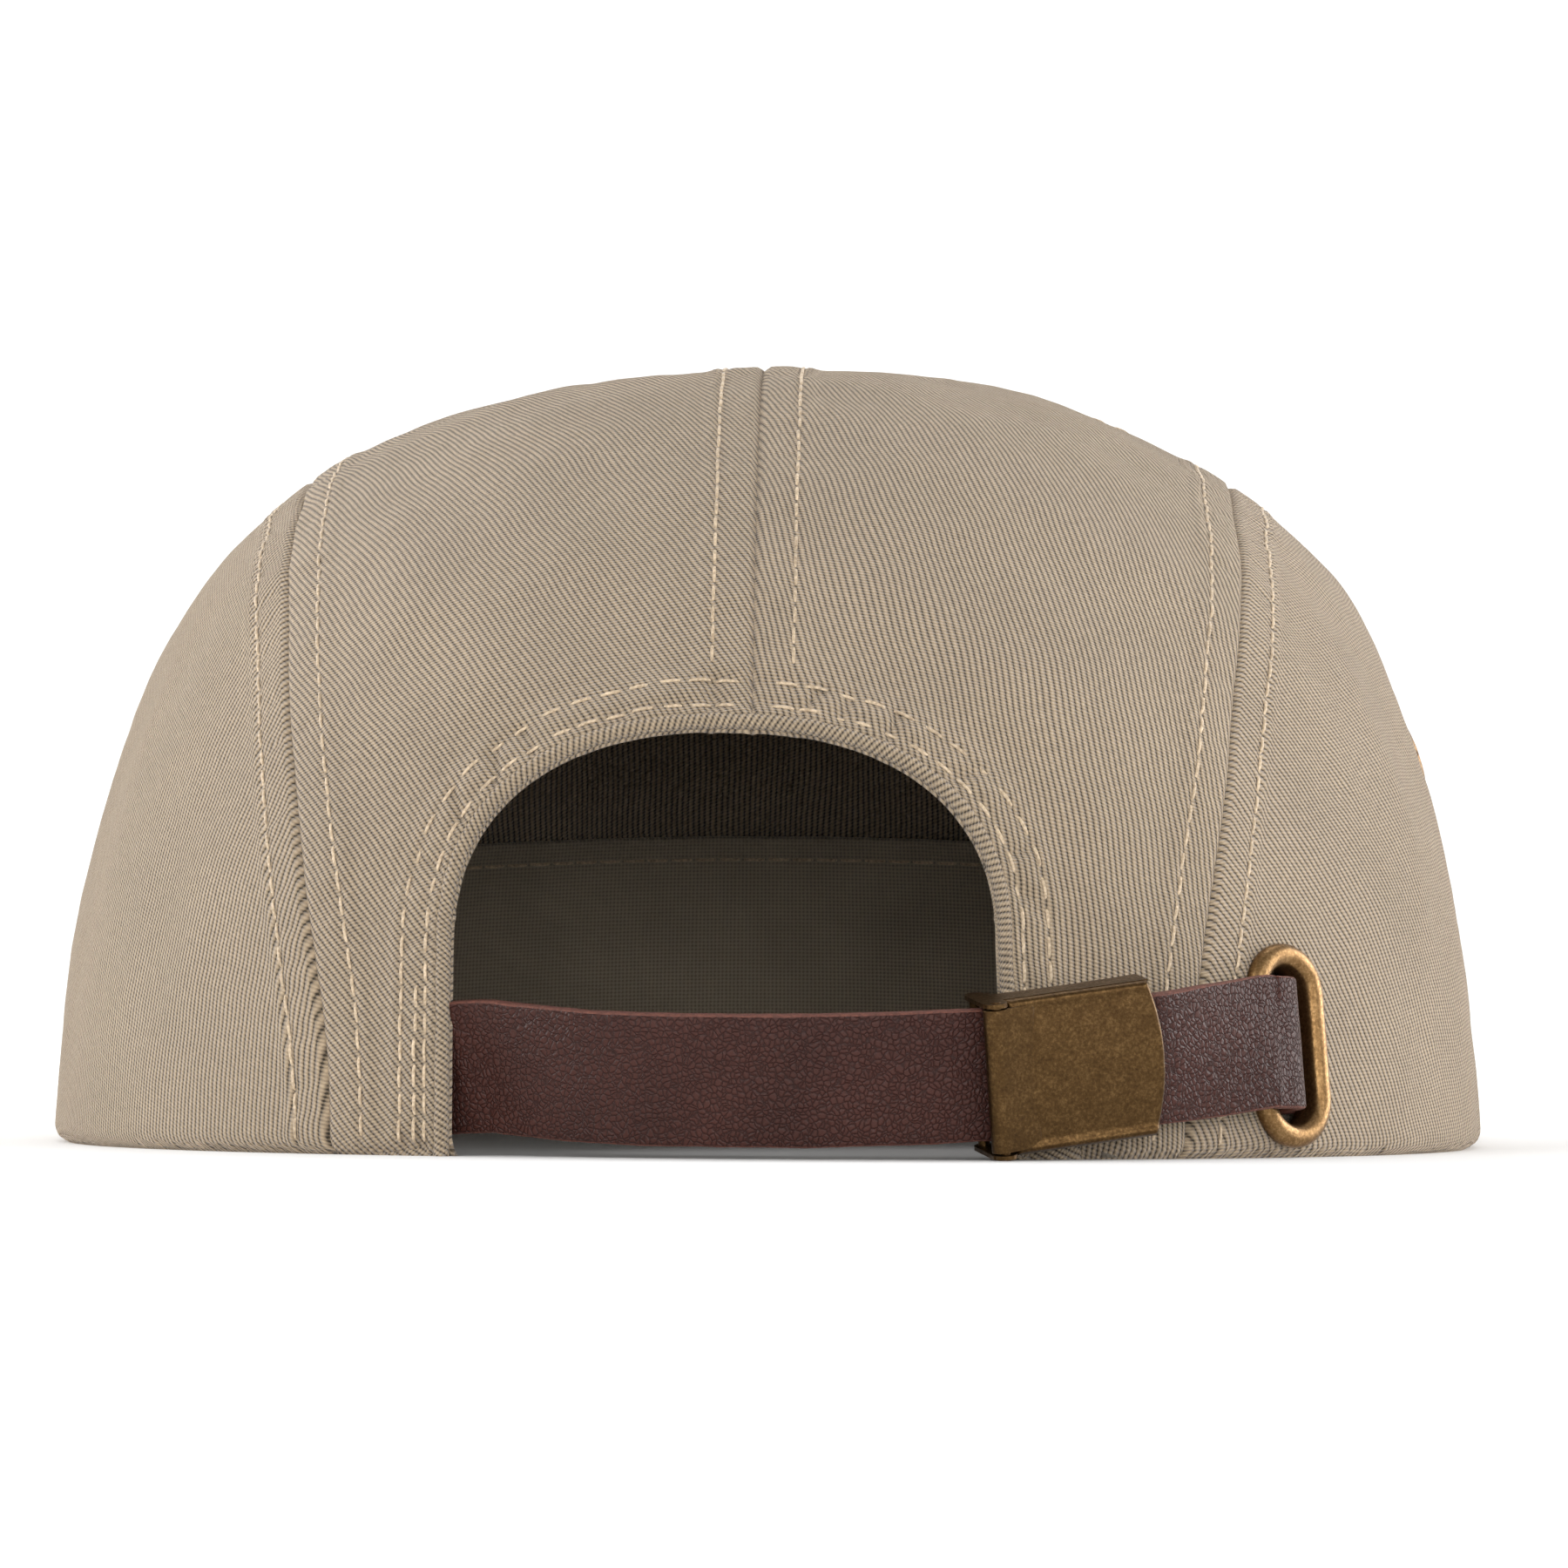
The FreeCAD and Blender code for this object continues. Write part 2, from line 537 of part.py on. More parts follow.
def make_parts():
    crown_block = layer(0.0, 45.0)
    shell = layer(0.0, CLOTH)
    front = front_region()
    seam_band = front_seam_band()
    opening = arch(0.0)
    facing_room = arch(FACING_WIDTH)
    left = side_region(-1)
    right = side_region(1)
    left_half = box(-200, 0, -200, 200, -20, 200)
    below_arch = below_visor(0.0)

    crown = shell.cut(front).cut(left).cut(right).cut(opening)
    parts = {
        "front_panel": shell.common(front).cut(below_arch),
        "left_side_panel": shell.cut(front).common(left).cut(below_arch),
        "right_side_panel": shell.cut(front).common(right).cut(below_arch),
        "left_crown_panel": crown.common(left_half),
        "right_crown_panel": crown.cut(left_half),
    }
    parts |= make_visor(crown_block)

    foot_top = box(-200, 200, -200, EARS_Y, -1, SWEATBAND_FOOT).fuse(below_visor(SWEATBAND_FOOT))
    wall = layer(POCKET, SWEATBAND).common(box(-200, 200, -200, 200, 0, SWEATBAND_HEIGHT))
    foot = layer(CLOTH, SWEATBAND).common(foot_top)
    parts["sweatband"] = wall.fuse(foot).cut(facing_room).cut(below_arch).removeSplitter()
    parts["opening_facing"] = layer(CLOTH, FACING).common(facing_room).cut(opening)

    tape_layer = layer(CLOTH, TAPE).cut(facing_room).cut(foot_top)
    front_tape = tape_layer.common(seam_band)
    parts["front_seam_tape"] = front_tape
    rest = tape_layer.cut(seam_band).cut(front)
    half = TAPE_HALF_WIDTH
    for name, sign in (("left", -1), ("right", 1)):
        strip = side_region(sign, -half).cut(side_region(sign, half))
        parts[name + "_seam_tape"] = rest.common(strip)
    parts["centre_seam_tape"] = rest.common(box(-half, half, -200, 200, 0, 200))

    eyelet = place_on_wall(EYELET_AZIMUTH, EYELET_Z)
    lining = layer(CLOTH, WASHER)
    ring, hole, washer = brass_ring(eyelet, *EYELET_HOLE, EYELET_FLANGE, EYELET_RISE, lining, crown_block)
    parts["right_side_panel"] = parts["right_side_panel"].cut(hole)
    parts["strap_eyelet"] = ring
    parts["strap_eyelet_washer"] = washer
    lined = 2 * (EYELET_FLANGE + LINING_GAP) - 1
    lining_room = eyelet.stadium(EYELET_HOLE[0] + lined, EYELET_HOLE[1] + lined, (-WASHER - 2 * CLINCH, 2))
    for name in ("right_seam_tape", "sweatband"):
        parts[name] = biggest(parts[name].cut(lining_room))
    for name, first in (("left", 180), ("right", 0)):
        rings = []
        for azimuth, z in VENT_PLACES:
            place = place_on_wall(abs(first - azimuth), z)
            size = VENT_HOLE + 0.001, VENT_HOLE
            ring, hole, _ = brass_ring(place, *size, VENT_FLANGE, VENT_RISE, lining, crown_block)
            parts[name + "_side_panel"] = parts[name + "_side_panel"].cut(hole)
            rings.append(ring)
        parts[name + "_vent_eyelets"] = Part.makeCompound(rings)

    cloth = [parts[name] for name in CLOTH_AT_THE_BACK]
    parts["strap"] = make_strap(eyelet, cloth + [parts["strap_eyelet"], washer])
    parts["keeper_loop"] = make_loop(cloth)
    parts |= make_buckle()
    return parts


def main():
    os.makedirs("parts", exist_ok=True)
    for name, shape in make_parts().items():
        shape.exportStep(f"parts/{name}.step")
        print(name, len(shape.Solids), round(shape.Volume), shape.isValid(), flush=True)


main()
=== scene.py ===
"""A five-panel camper cap in khaki twill, with a leather strap, an antique brass buckle and an oblong eyelet.

Shapes are worked out in millimetres and turned into metres by make_mesh. The crown is one smooth dome. A
point on it is named by its place on a flat disc: its direction is the azimuth and its distance from the
middle is 0 at the top and 1 at the rim. Panels are triangulated on the disc between their seams and then
raised, so that neighbouring panels meet exactly.
"""

import math

import bpy
import numpy as np
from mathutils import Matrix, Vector, noise
from mathutils.geometry import delaunay_2d_cdt
from mathutils.kdtree import KDTree


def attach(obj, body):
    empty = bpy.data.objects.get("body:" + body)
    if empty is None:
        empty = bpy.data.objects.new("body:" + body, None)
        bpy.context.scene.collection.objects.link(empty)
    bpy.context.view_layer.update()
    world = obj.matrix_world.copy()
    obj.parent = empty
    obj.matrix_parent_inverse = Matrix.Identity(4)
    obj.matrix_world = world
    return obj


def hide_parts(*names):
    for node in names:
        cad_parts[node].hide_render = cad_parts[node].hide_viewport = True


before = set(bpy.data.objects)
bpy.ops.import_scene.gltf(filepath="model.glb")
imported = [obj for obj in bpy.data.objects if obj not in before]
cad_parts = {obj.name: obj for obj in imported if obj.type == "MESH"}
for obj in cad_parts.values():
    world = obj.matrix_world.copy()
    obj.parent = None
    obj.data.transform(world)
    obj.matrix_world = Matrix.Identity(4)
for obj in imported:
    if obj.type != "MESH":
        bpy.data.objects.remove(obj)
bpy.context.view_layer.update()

# Crown, in millimetres, as in the frame
HALF_WIDTH, HALF_LENGTH, HEIGHT = 89.0, 99.0, 96.3
LEAN = 0.045
PLAN_POWER, SIDE_POWER, FRONT_POWER_EXTRA = 2.2, 2.6, 0.35
CLOTH = 1.2
FINE = 0.95  # spacing of a panel's points

# Seams
SIDE_SEAM = np.array([(50.4, 0.0), (52.9, 27.0), (56.2, 54.0), (57.6, 69.0), (56.6, 80.0), (55.5, 96.0)])
FRONT_SEAM_Y, FRONT_SEAM_SLOPE = 34.0, -0.14
CENTRE_SEAM_X = -0.8
SEAM_ROW = 4.8  # from a seam to its row of stitches
OPENING_MIDDLE, OPENING_HALF, OPENING_FLARE = -3.9, 32.4, 1.2
OPENING_SPRING, OPENING_RISE, OPENING_POWER = 25.0, 25.7, 2.3
OPENING_ROWS = (2.7, 6.0)
STRAP_ROW = 3.9  # the row that holds the strap's end, inside the left edge only
FACING_WIDTH = 9.0
LIP_FOOT = -0.9  # the rolled part of the facing stands above this
TAPE_HALF = 6.0
SKIN_DROP = 0.36  # evens out what the seams and folds add
RIM_FOLD = 2.4
SHOULDER = 1.3  # how much fuller the cloth is than the dome high on each side

# Visor
VISOR_ARCH, VISOR_HALF, VISOR_THICK = 6.0, 90.6, 3.0
VISOR_OUTLINE = np.array([(86.0, 20.0), (90.0, 44.0), (86.0, 88.0), (70.0, 130.0), (38.0, 158.5), (0.0, 167.0)])
EARS_Y = 4.5

# Sweatband
POCKET, BAND_THICK, BAND_HEIGHT = 4.4, 0.9, 34.0

# Strap, as in the frame: an arc about a tilted axis
STRAP_RADIUS, STRAP_WIDTH, STRAP_THICK = 80.2, 15.6, 1.8
STRAP_CENTRE = np.array([8.0, -22.9, 23.5])
STRAP_AXIS = np.array([-0.022, -0.178, 0.984])
STRAP_AXIS = STRAP_AXIS / np.linalg.norm(STRAP_AXIS)

# Eyelets
EYELET_AZIMUTH, EYELET_Z = -46.7, 13.2
EYELET_HOLE, EYELET_FLANGE, EYELET_RISE = (18.8, 7.0), 2.75, 1.3
VENTS = ((11.0, 64.0), (11.0, 49.0))  # degrees ahead of the cap's middle, and height
VENT_HOLE, VENT_FLANGE, VENT_RISE = 5.0, 2.0, 0.8
HOLE_GROW = 0.95  # how much wider the cloth's hole is than the eyelet's, hidden by its flange

# Buckle
BUCKLE_ANGLE, BUCKLE_TWIST, BUCKLE_LIFT = 20.6, 3.0, 0.2
BUCKLE_HALF_LENGTH, BUCKLE_HALF_WIDTH = 9.7, 9.2
COVER_UNDER, COVER_THICK, COVER_BULGE = 1.55, 0.8, 1.6
PIN_T, PIN_N, KNUCKLE = -9.6, 2.4, 1.25
BAR_T, BAR_N, BAR_RADIUS = -9.9, -3.7, 0.7
TRAVEL = 5.0


# ---------------------------------------------------------------- the dome

def unit(v):
    return v / np.maximum(np.linalg.norm(v, axis=-1, keepdims=True), 1e-9)


def power_round(angle, power):
    return (np.abs(np.cos(angle)) ** power + np.abs(np.sin(angle)) ** power) ** (-1 / power)


def dome(disc):
    """Points of the crown's outer face for places on the disc."""
    azimuth = np.arctan2(disc[:, 1], disc[:, 0])
    polar = np.hypot(disc[:, 0], disc[:, 1]) * math.pi / 2
    side = power_round(polar, SIDE_POWER + FRONT_POWER_EXTRA * np.sin(azimuth))
    reach = side * np.sin(polar) * power_round(azimuth, PLAN_POWER)
    z = HEIGHT * side * np.cos(polar)
    x = (HALF_WIDTH - LEAN * z) * reach * np.cos(azimuth)
    y = (HALF_LENGTH - LEAN * z) * reach * np.sin(azimuth)
    return np.stack([x, y, z], axis=1)


def to_disc(points):
    """Places on the disc for points on or near the dome."""
    x = points[:, 0] / (HALF_WIDTH - LEAN * points[:, 2])
    y = points[:, 1] / (HALF_LENGTH - LEAN * points[:, 2])
    azimuth = np.arctan2(y, x)
    reach = (np.abs(x) ** PLAN_POWER + np.abs(y) ** PLAN_POWER) ** (1 / PLAN_POWER)
    polar = np.arctan2(reach, points[:, 2] / HEIGHT) * 2 / math.pi
    return np.stack([polar * np.cos(azimuth), polar * np.sin(azimuth)], axis=1)


def normals(disc):
    step = 1e-4
    across = dome(disc + [step, 0]) - dome(disc - [step, 0])
    ahead = dome(disc + [0, step]) - dome(disc - [0, step])
    return unit(np.cross(across, ahead))


def inside(points):
    x = np.abs(points[:, 0] / (HALF_WIDTH - LEAN * points[:, 2]))
    y = points[:, 1] / (HALF_LENGTH - LEAN * points[:, 2])
    power = SIDE_POWER + FRONT_POWER_EXTRA * np.sin(np.arctan2(y, x))
    reach = (x**PLAN_POWER + np.abs(y) ** PLAN_POWER) ** (1 / PLAN_POWER)
    return reach**power + np.abs(points[:, 2] / HEIGHT) ** power < 1


def on_dome(path, low, high, count):
    """Bisects each of count paths between its low and high parameter for where it leaves the dome."""
    low, high = np.full(count, float(low)), np.full(count, float(high))
    for _ in range(40):
        middle = (low + high) / 2
        within = inside(path(middle))
        low, high = np.where(within, middle, low), np.where(within, high, middle)
    return path(low)


def back_wall(x, z):
    """Points of the back of the dome at these x and z."""
    return on_dome(lambda r: np.stack([x, -r, z], axis=1), 0, 130, len(x))


def wall(azimuth, z):
    """Points of the dome at azimuths in radians and heights."""
    power = SIDE_POWER + FRONT_POWER_EXTRA * np.sin(azimuth)
    h = z / HEIGHT
    reach = np.sign(1 - h) * np.abs(1 - np.abs(h) ** power) ** (1 / power)
    polar = np.arctan2(reach, h) * 2 / math.pi
    return dome(np.stack([polar * np.cos(azimuth), polar * np.sin(azimuth)], axis=1))


# ---------------------------------------------------------------- lines on the dome

def lengths(line):
    """How far along the line each of its points is."""
    return np.concatenate([[0], np.cumsum(np.linalg.norm(np.diff(line, axis=0), axis=1))])


def respaced(line, count):
    """The line with this many points at even spacing."""
    along = lengths(line)
    places = np.linspace(0, along[-1], count)
    return np.stack([np.interp(places, along, line[:, k]) for k in range(line.shape[1])], axis=1)


def even(line, step):
    """The line with points about step apart, ends kept."""
    return respaced(line, max(2, round(lengths(line)[-1] / step) + 1))


SEAM_CURVE = np.polyfit(SIDE_SEAM[:, 1], SIDE_SEAM[:, 0], 4)


def front_seam_y(z):
    return FRONT_SEAM_Y + FRONT_SEAM_SLOPE * z


def back_to_front(x_of_z):
    """A line up the back at x = x_of_z(z), over the top and on to the front seam."""
    angle = np.radians(np.linspace(-0.5, 140, 500))
    cos, sin = np.cos(angle), np.sin(angle)

    def path(r):
        return np.stack([x_of_z(r * sin), -r * cos, r * sin], axis=1)

    line = on_dome(path, 0, 200, len(angle))
    return line[(line[:, 1] <= front_seam_y(line[:, 2])) & (line[:, 2] >= -0.3)]


def make_lines():
    lines = {"centre": back_to_front(lambda z: 0 * z + CENTRE_SEAM_X)}
    lines["left"] = back_to_front(lambda z: -np.polyval(SEAM_CURVE, z))
    lines["right"] = back_to_front(lambda z: np.polyval(SEAM_CURVE, z))
    angle = np.radians(np.linspace(-1, 181, 600))
    cos, sin = np.cos(angle), np.sin(angle)

    def path(r):
        return np.stack([r * cos, front_seam_y(r * sin), r * sin], axis=1)

    lines["front"] = on_dome(path, 0, 200, len(angle))
    lines["opening"] = opening_line(0.0)
    return {name: even(line, 1.0) for name, line in lines.items()}


def opening_line(grow):
    """The opening's edge grown outwards, from the rim on the right, over the arch, to the rim on the left."""
    angle = np.linspace(0, math.pi, 90)
    reach = power_round(angle, OPENING_POWER)
    x = OPENING_MIDDLE + (OPENING_HALF + grow) * reach * np.cos(angle)
    z = OPENING_SPRING + (OPENING_RISE + grow) * reach * np.sin(angle)
    down = np.linspace(0, OPENING_SPRING, 26)[:-1]
    flare = OPENING_FLARE * (1 - down / OPENING_SPRING)
    right_x, left_x = x[0] + flare, np.full(len(down), x[-1])
    x = np.concatenate([right_x, x, left_x])
    z = np.concatenate([down, z, down[::-1]])
    return back_wall(x, z)


def rim_height(points):
    """How high the bottom edge stands: level at the back, raised by the visor's arch ahead of the ears."""
    rise = VISOR_ARCH * (1 - (points[:, 0] / VISOR_HALF) ** 2)
    return np.where(points[:, 1] > EARS_Y, rise, 0.0)


LINES = make_lines()


def wobble(points, size, seed):
    """Smooth noise from about -1 to 1 at each point."""
    return np.array([noise.noise(Vector(p) / size + Vector((seed, 0, 0))) for p in points])


def bump(x, middle, width):
    return np.exp(-(((x - middle) / width) ** 2))


def step(x, start, end):
    t = np.clip((x - start) / (end - start), 0, 1)
    return t * t * (3 - 2 * t)


def pucker(index, distance, seed):
    """Short folds square to a line, by the place along it."""
    places = np.stack([index / 2.6, distance / 11, np.full(len(index), seed)], axis=1)
    return np.array([noise.noise(Vector(p)) for p in places])


# ---------------------------------------------------------------- making meshes

def make_mesh(name, points, faces, body="root", slot="khaki_twill", uv=None, replaces=()):
    """A piece made from points in millimetres, riding on a body."""
    mesh = bpy.data.meshes.new(name)
    mesh.from_pydata((np.asarray(points) / 1000).tolist(), [], [tuple(int(i) for i in f) for f in faces])
    mesh.polygons.foreach_set("use_smooth", [True] * len(mesh.polygons))
    if uv is not None:
        corners = np.empty(len(mesh.loops), int)
        mesh.loops.foreach_get("vertex_index", corners)
        mesh.uv_layers.new(name="weave").data.foreach_set("uv", np.asarray(uv)[corners].astype(float).ravel())
    piece = bpy.data.objects.new(name, mesh)
    bpy.context.scene.collection.objects.link(piece)
    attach(piece, body)
    if replaces:
        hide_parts(*replaces)
    return piece


def grid_faces(rows, columns, close_rows=False, close_columns=False, first=0):
    """Faces of a grid of points numbered row by row."""
    faces = []
    for r in range(rows if close_rows else rows - 1):
        for c in range(columns if close_columns else columns - 1):
            r1, c1 = (r + 1) % rows, (c + 1) % columns
            faces.append((first + r * columns + c, first + r * columns + c1,
                          first + r1 * columns + c1, first + r1 * columns + c))
    return faces


def tube_faces(rows, columns):
    """Faces of a grid whose last row meets its first, with both ends closed."""
    start = tuple(r * columns for r in range(rows))
    end = tuple(r * columns + columns - 1 for r in range(rows))
    return grid_faces(rows, columns, close_rows=True) + [start[::-1], end]


def sweep(path, across, out, section):
    """(points, faces, uv) of a closed section carried along a path, with closed ends.

    The section's points are (across, out) pairs; uv is the distance along and round.
    """
    path, section = np.asarray(path), np.asarray(section)
    points = path[:, None] + section[None, :, :1] * across[:, None] + section[None, :, 1:] * out[:, None]
    along = lengths(path)
    edge = np.linalg.norm(section - np.roll(section, 1, axis=0), axis=1)
    round_ = np.cumsum(edge)
    uv = np.stack(np.broadcast_arrays(along[:, None], round_[None, :]), axis=2)
    rows, columns = points.shape[:2]
    faces = grid_faces(rows, columns, close_columns=True)
    faces += [tuple(range(columns))[::-1], tuple(range((rows - 1) * columns, rows * columns))]
    return points.reshape(-1, 3), faces, uv.reshape(-1, 2)


def rounded_bar(width, thick, radius, steps=4, columns=10):
    """The outline of a rounded bar, as (across, out) pairs."""
    spots = []
    centres = ((1, 1, 0), (-1, 1, 90), (-1, -1, 180), (1, -1, 270))
    for sx, sy, start in centres:
        for turn in np.radians(np.linspace(start, start + 90, steps + 1)):
            spots.append((sx * (width / 2 - radius) + radius * math.cos(turn),
                          sy * (thick / 2 - radius) + radius * math.sin(turn)))
        if sx * sy > 0:
            top = sx * (width / 2 - radius), sy * thick / 2
            spots += [(top[0] * (1 - 2 * t), top[1]) for t in np.linspace(0, 1, columns + 1)[1:-1]]
    return np.array(spots)


def stitches(places, tangents, outs, length=2.75, radius=0.22, sink=-0.06):
    """(points, faces) of threads lying along their tangents, each diving into the cloth at both ends."""
    side = unit(np.cross(outs, tangents))
    points = []
    ts = np.array([-1.0, -0.8, -0.35, 0.35, 0.8, 1.0])
    turns = np.radians(np.arange(0, 360, 60))
    for t in ts:
        height = radius * (0.75 - 1.6 * abs(t) ** 4) - sink
        size = radius * (1 - 0.35 * abs(t) ** 6)
        middle = places + tangents * (t * length / 2) + outs * height
        for turn in turns:
            points.append(middle + side * (size * math.cos(turn)) + outs * (0.8 * size * math.sin(turn)))
    points = np.stack(points, axis=1)
    count, per = points.shape[:2]
    one = np.array(grid_faces(len(ts), len(turns), close_columns=True))
    faces = (one[None] + per * np.arange(count)[:, None, None]).reshape(-1, 4)
    return points.reshape(-1, 3), faces


class Seam:
    """A line on the dome with a quick way to find its nearest point."""

    def __init__(self, line):
        self.line = even(line, 0.25)
        self.tree = KDTree(len(self.line))
        for i, p in enumerate(self.line):
            self.tree.insert(p, i)
        self.tree.balance()

    def near(self, points):
        """Distance to the line and place along it in millimetres, for each point."""
        found = [self.tree.find(p)[1:] for p in points]
        index, distance = np.array(found, float).T
        return distance, index * 0.25

    def beside(self, distance, spacing):
        """(points, tangents) at a signed distance to one side of the line."""
        line = even(self.line, spacing)
        tangents = unit(np.gradient(line, axis=0))
        side = unit(np.cross(tangents, normals(to_disc(line))))
        return dome(to_disc(line + side * distance)), tangents


SEAMS = {name: Seam(line) for name, line in LINES.items()}


def crease(along, distance, spacing, seed):
    """Sharp little folds square to a line, from 0 on the flat to 1 in a fold's bottom."""
    places = np.stack([along / spacing + 0.05 * distance, distance / 16, np.full(len(along), seed)], axis=1)
    depth = np.array([noise.noise(Vector(p)) for p in places])
    return np.clip(1 - np.abs(depth) / 0.16, 0, 1) ** 1.3


def relief(points):
    """How far the cloth stands out from the smooth dome at each of its points."""
    band = np.zeros(len(points))
    fall = np.full(len(points), SKIN_DROP)
    for number, name in enumerate(("centre", "left", "right", "front")):
        distance, along = SEAMS[name].near(points)
        band = np.maximum(band, 0.34 * (1 - step(distance, 5.6, 7.2)))
        fall += 0.62 * bump(distance, 0, 0.42) + 0.3 * bump(distance, SEAM_ROW, 0.45)
        fall += 0.2 * pucker(along, distance, 10.0 * number) * np.exp(-((distance - 3.4) / 3.2) ** 2)
        high = 0.3 + 0.7 * step(points[:, 2], 14, 36)
        folds = 0.22 * high * crease(along, distance, 9.0, 3.0 + number)
        fall += folds * np.exp(-((distance - 3.0) / 2.2) ** 2)
    distance, along = SEAMS["opening"].near(points)
    band = np.maximum(band, 0.4 * (1 - step(distance, 6.4, 8.0)))
    fall += 1.0 * (1 - step(distance, 0.6, 1.5))
    for row in OPENING_ROWS:
        fall += 0.34 * bump(distance, row, 0.5)
    around = np.exp(-((distance - 4.2) / 2.6) ** 2)
    arch = 0.35 + 0.65 * step(points[:, 2], 18, 34)
    fall += (1.0 * crease(along, distance, 6.0, 60.0) + 0.5 * pucker(along, distance, 66.0)) * around * arch
    height = points[:, 2] - rim_height(points)
    fold = 1 - np.clip(height / RIM_FOLD, 0, 1)
    fall += RIM_FOLD * (1 - np.sqrt(1 - 0.97 * fold**2))
    tall = points * [1, 1, 0.42]
    soft = 0.75 * wobble(tall, 26, 3) + 0.4 * wobble(tall, 10, 7) + 0.1 * wobble(points, 3.4, 11)
    quiet = (1 - 0.75 * (1 - step(distance, 0, 12))) * (0.35 + 0.65 * step(height, 2, 16))
    shoulder = SHOULDER * bump(points[:, 2], 69, 13) * step(np.abs(points[:, 0]), 30, 66)
    return band + shoulder - fall + soft * quiet


# ---------------------------------------------------------------- crown panels

def rim_line():
    azimuth = np.linspace(-math.pi, math.pi, 700)
    points = wall(azimuth, np.zeros(len(azimuth)))
    for _ in range(5):
        points = wall(azimuth, rim_height(points))
    return points


def crown_points():
    """(disc places, edges to keep) for the whole crown: rows along every seam and an even mesh between."""
    rows, edges, total = [], [], 0
    seam_rows = (0.0, 0.35, -0.35, 0.8, -0.8, 1.35, -1.35)
    open_rows = (0.0, 0.45, 0.95, 1.5, 2.1)
    for name, seam in SEAMS.items():
        for gap in open_rows if name == "opening" else seam_rows:
            spots, _ = seam.beside(gap, 0.9)
            rows.append(to_disc(spots))
            if gap == 0:
                edges += [(total + i, total + i + 1) for i in range(len(spots) - 1)]
            total += len(spots)
    rim = to_disc(rim_line())[:-1]
    rows.append(rim)
    edges += [(total + i, total + (i + 1) % len(rim)) for i in range(len(rim))]
    total += len(rim)

    pitch = FINE / 150
    count = int(1 / pitch) + 2
    column, row = np.meshgrid(np.arange(-count, count), np.arange(-count, count))
    mesh = np.stack([(column + 0.5 * (row % 2)).ravel() * pitch, (row * 0.866).ravel() * pitch], axis=1)
    mesh = mesh[np.hypot(mesh[:, 0], mesh[:, 1]) < 1]
    spots = dome(mesh)
    keep = spots[:, 2] > rim_height(spots) + 0.6
    for name, seam in SEAMS.items():
        distance, _ = seam.near(spots)
        keep &= distance > (2.6 if name == "opening" else 1.85)
    rows.append(mesh[keep])
    return np.concatenate(rows), edges


def in_opening(points):
    x, z = points[:, 0] - OPENING_MIDDLE, points[:, 2]
    climb = np.maximum(z - OPENING_SPRING, 0) / OPENING_RISE
    above = (np.abs(x) / OPENING_HALF) ** OPENING_POWER + climb**OPENING_POWER
    flare = OPENING_FLARE * (1 - z / OPENING_SPRING)
    below = (x > -OPENING_HALF) & (x < OPENING_HALF + flare)
    return (points[:, 1] < 0) & np.where(z > OPENING_SPRING, above < 1, below)


def in_eyelets(points):
    """Points inside the holes that the eyelets line."""
    inside_ = np.zeros(len(points), bool)
    for place, height, width in EYELETS:
        gap = points - place.origin
        up, along = gap @ place.up, gap @ place.along
        straight = (height - width) / 2
        reach = np.hypot(along, np.maximum(np.abs(up) - straight, 0))
        inside_ |= (reach < width / 2 + HOLE_GROW) & (np.linalg.norm(gap, axis=1) < 40)
    return inside_


def which_panel(points):
    """0 to 4 for the front, left side, right side, left crown and right crown; -1 for none."""
    side = np.abs(points[:, 0]) > np.polyval(SEAM_CURVE, points[:, 2])
    right = points[:, 0] > CENTRE_SEAM_X
    panel = np.where(side, np.where(right, 2, 1), np.where(right, 4, 3))
    panel = np.where(points[:, 1] > front_seam_y(points[:, 2]), 0, panel)
    gone = in_opening(points) | in_eyelets(points) | (points[:, 2] < rim_height(points) - 0.02)
    return np.where(gone, -1, panel)


PANELS = (  # name, outward direction of its middle, direction of its weave's ridges, and their spacing
    ("front_panel", (0.0, 1.0, 0.5), 90, 0.74),
    ("left_side_panel", (-1.0, -0.3, 0.4), 90, 0.74),
    ("right_side_panel", (1.0, -0.3, 0.4), 116, 0.86),
    ("left_crown_panel", (-0.3, -1.0, 0.7), 130, 0.69),
    ("right_crown_panel", (0.3, -1.0, 0.7), 93, 0.76),
)


def flatten(points, toward):
    """The panel laid flat about its middle: uv in millimetres."""
    middle = points[np.argmax(points @ np.array(toward))]
    out = unit(np.array(toward))
    across = unit(np.cross([0, 0, 1], out))
    up = np.cross(out, across)
    gap = points - middle
    flat = np.stack([gap @ across, gap @ up], axis=1)
    far = np.linalg.norm(gap, axis=1)
    reach = far * (1 + far**2 / 200000)
    return flat / np.maximum(np.linalg.norm(flat, axis=1), 1e-6)[:, None] * reach[:, None]


def unroll(points, azimuth):
    """A wall panel laid flat: distance round from an azimuth in degrees, and distance up; uv in millimetres."""
    turn = np.linspace(-math.pi, 3 * math.pi, 800)
    rim = wall(turn, np.zeros(len(turn)))
    round_ = lengths(rim)
    disc = to_disc(points)
    here = np.mod(np.arctan2(disc[:, 1], disc[:, 0]), 2 * math.pi)
    start = math.radians(azimuth % 360)
    here = np.where(here - start > math.pi, here - 2 * math.pi, here)
    here = np.where(here - start < -math.pi, here + 2 * math.pi, here)
    foot = wall(here, np.zeros(len(here)))
    shrink = np.hypot(points[:, 0], points[:, 1]) / np.hypot(foot[:, 0], foot[:, 1])
    polar = np.linspace(0, 1, 400)
    rise = dome(np.stack([-polar, 0 * polar], axis=1))
    up = lengths(rise)
    u = (np.interp(here, turn, round_) - np.interp(start, turn, round_)) * shrink
    return np.stack([u, up[-1] - np.interp(np.hypot(disc[:, 0], disc[:, 1]), polar, up)], axis=1)


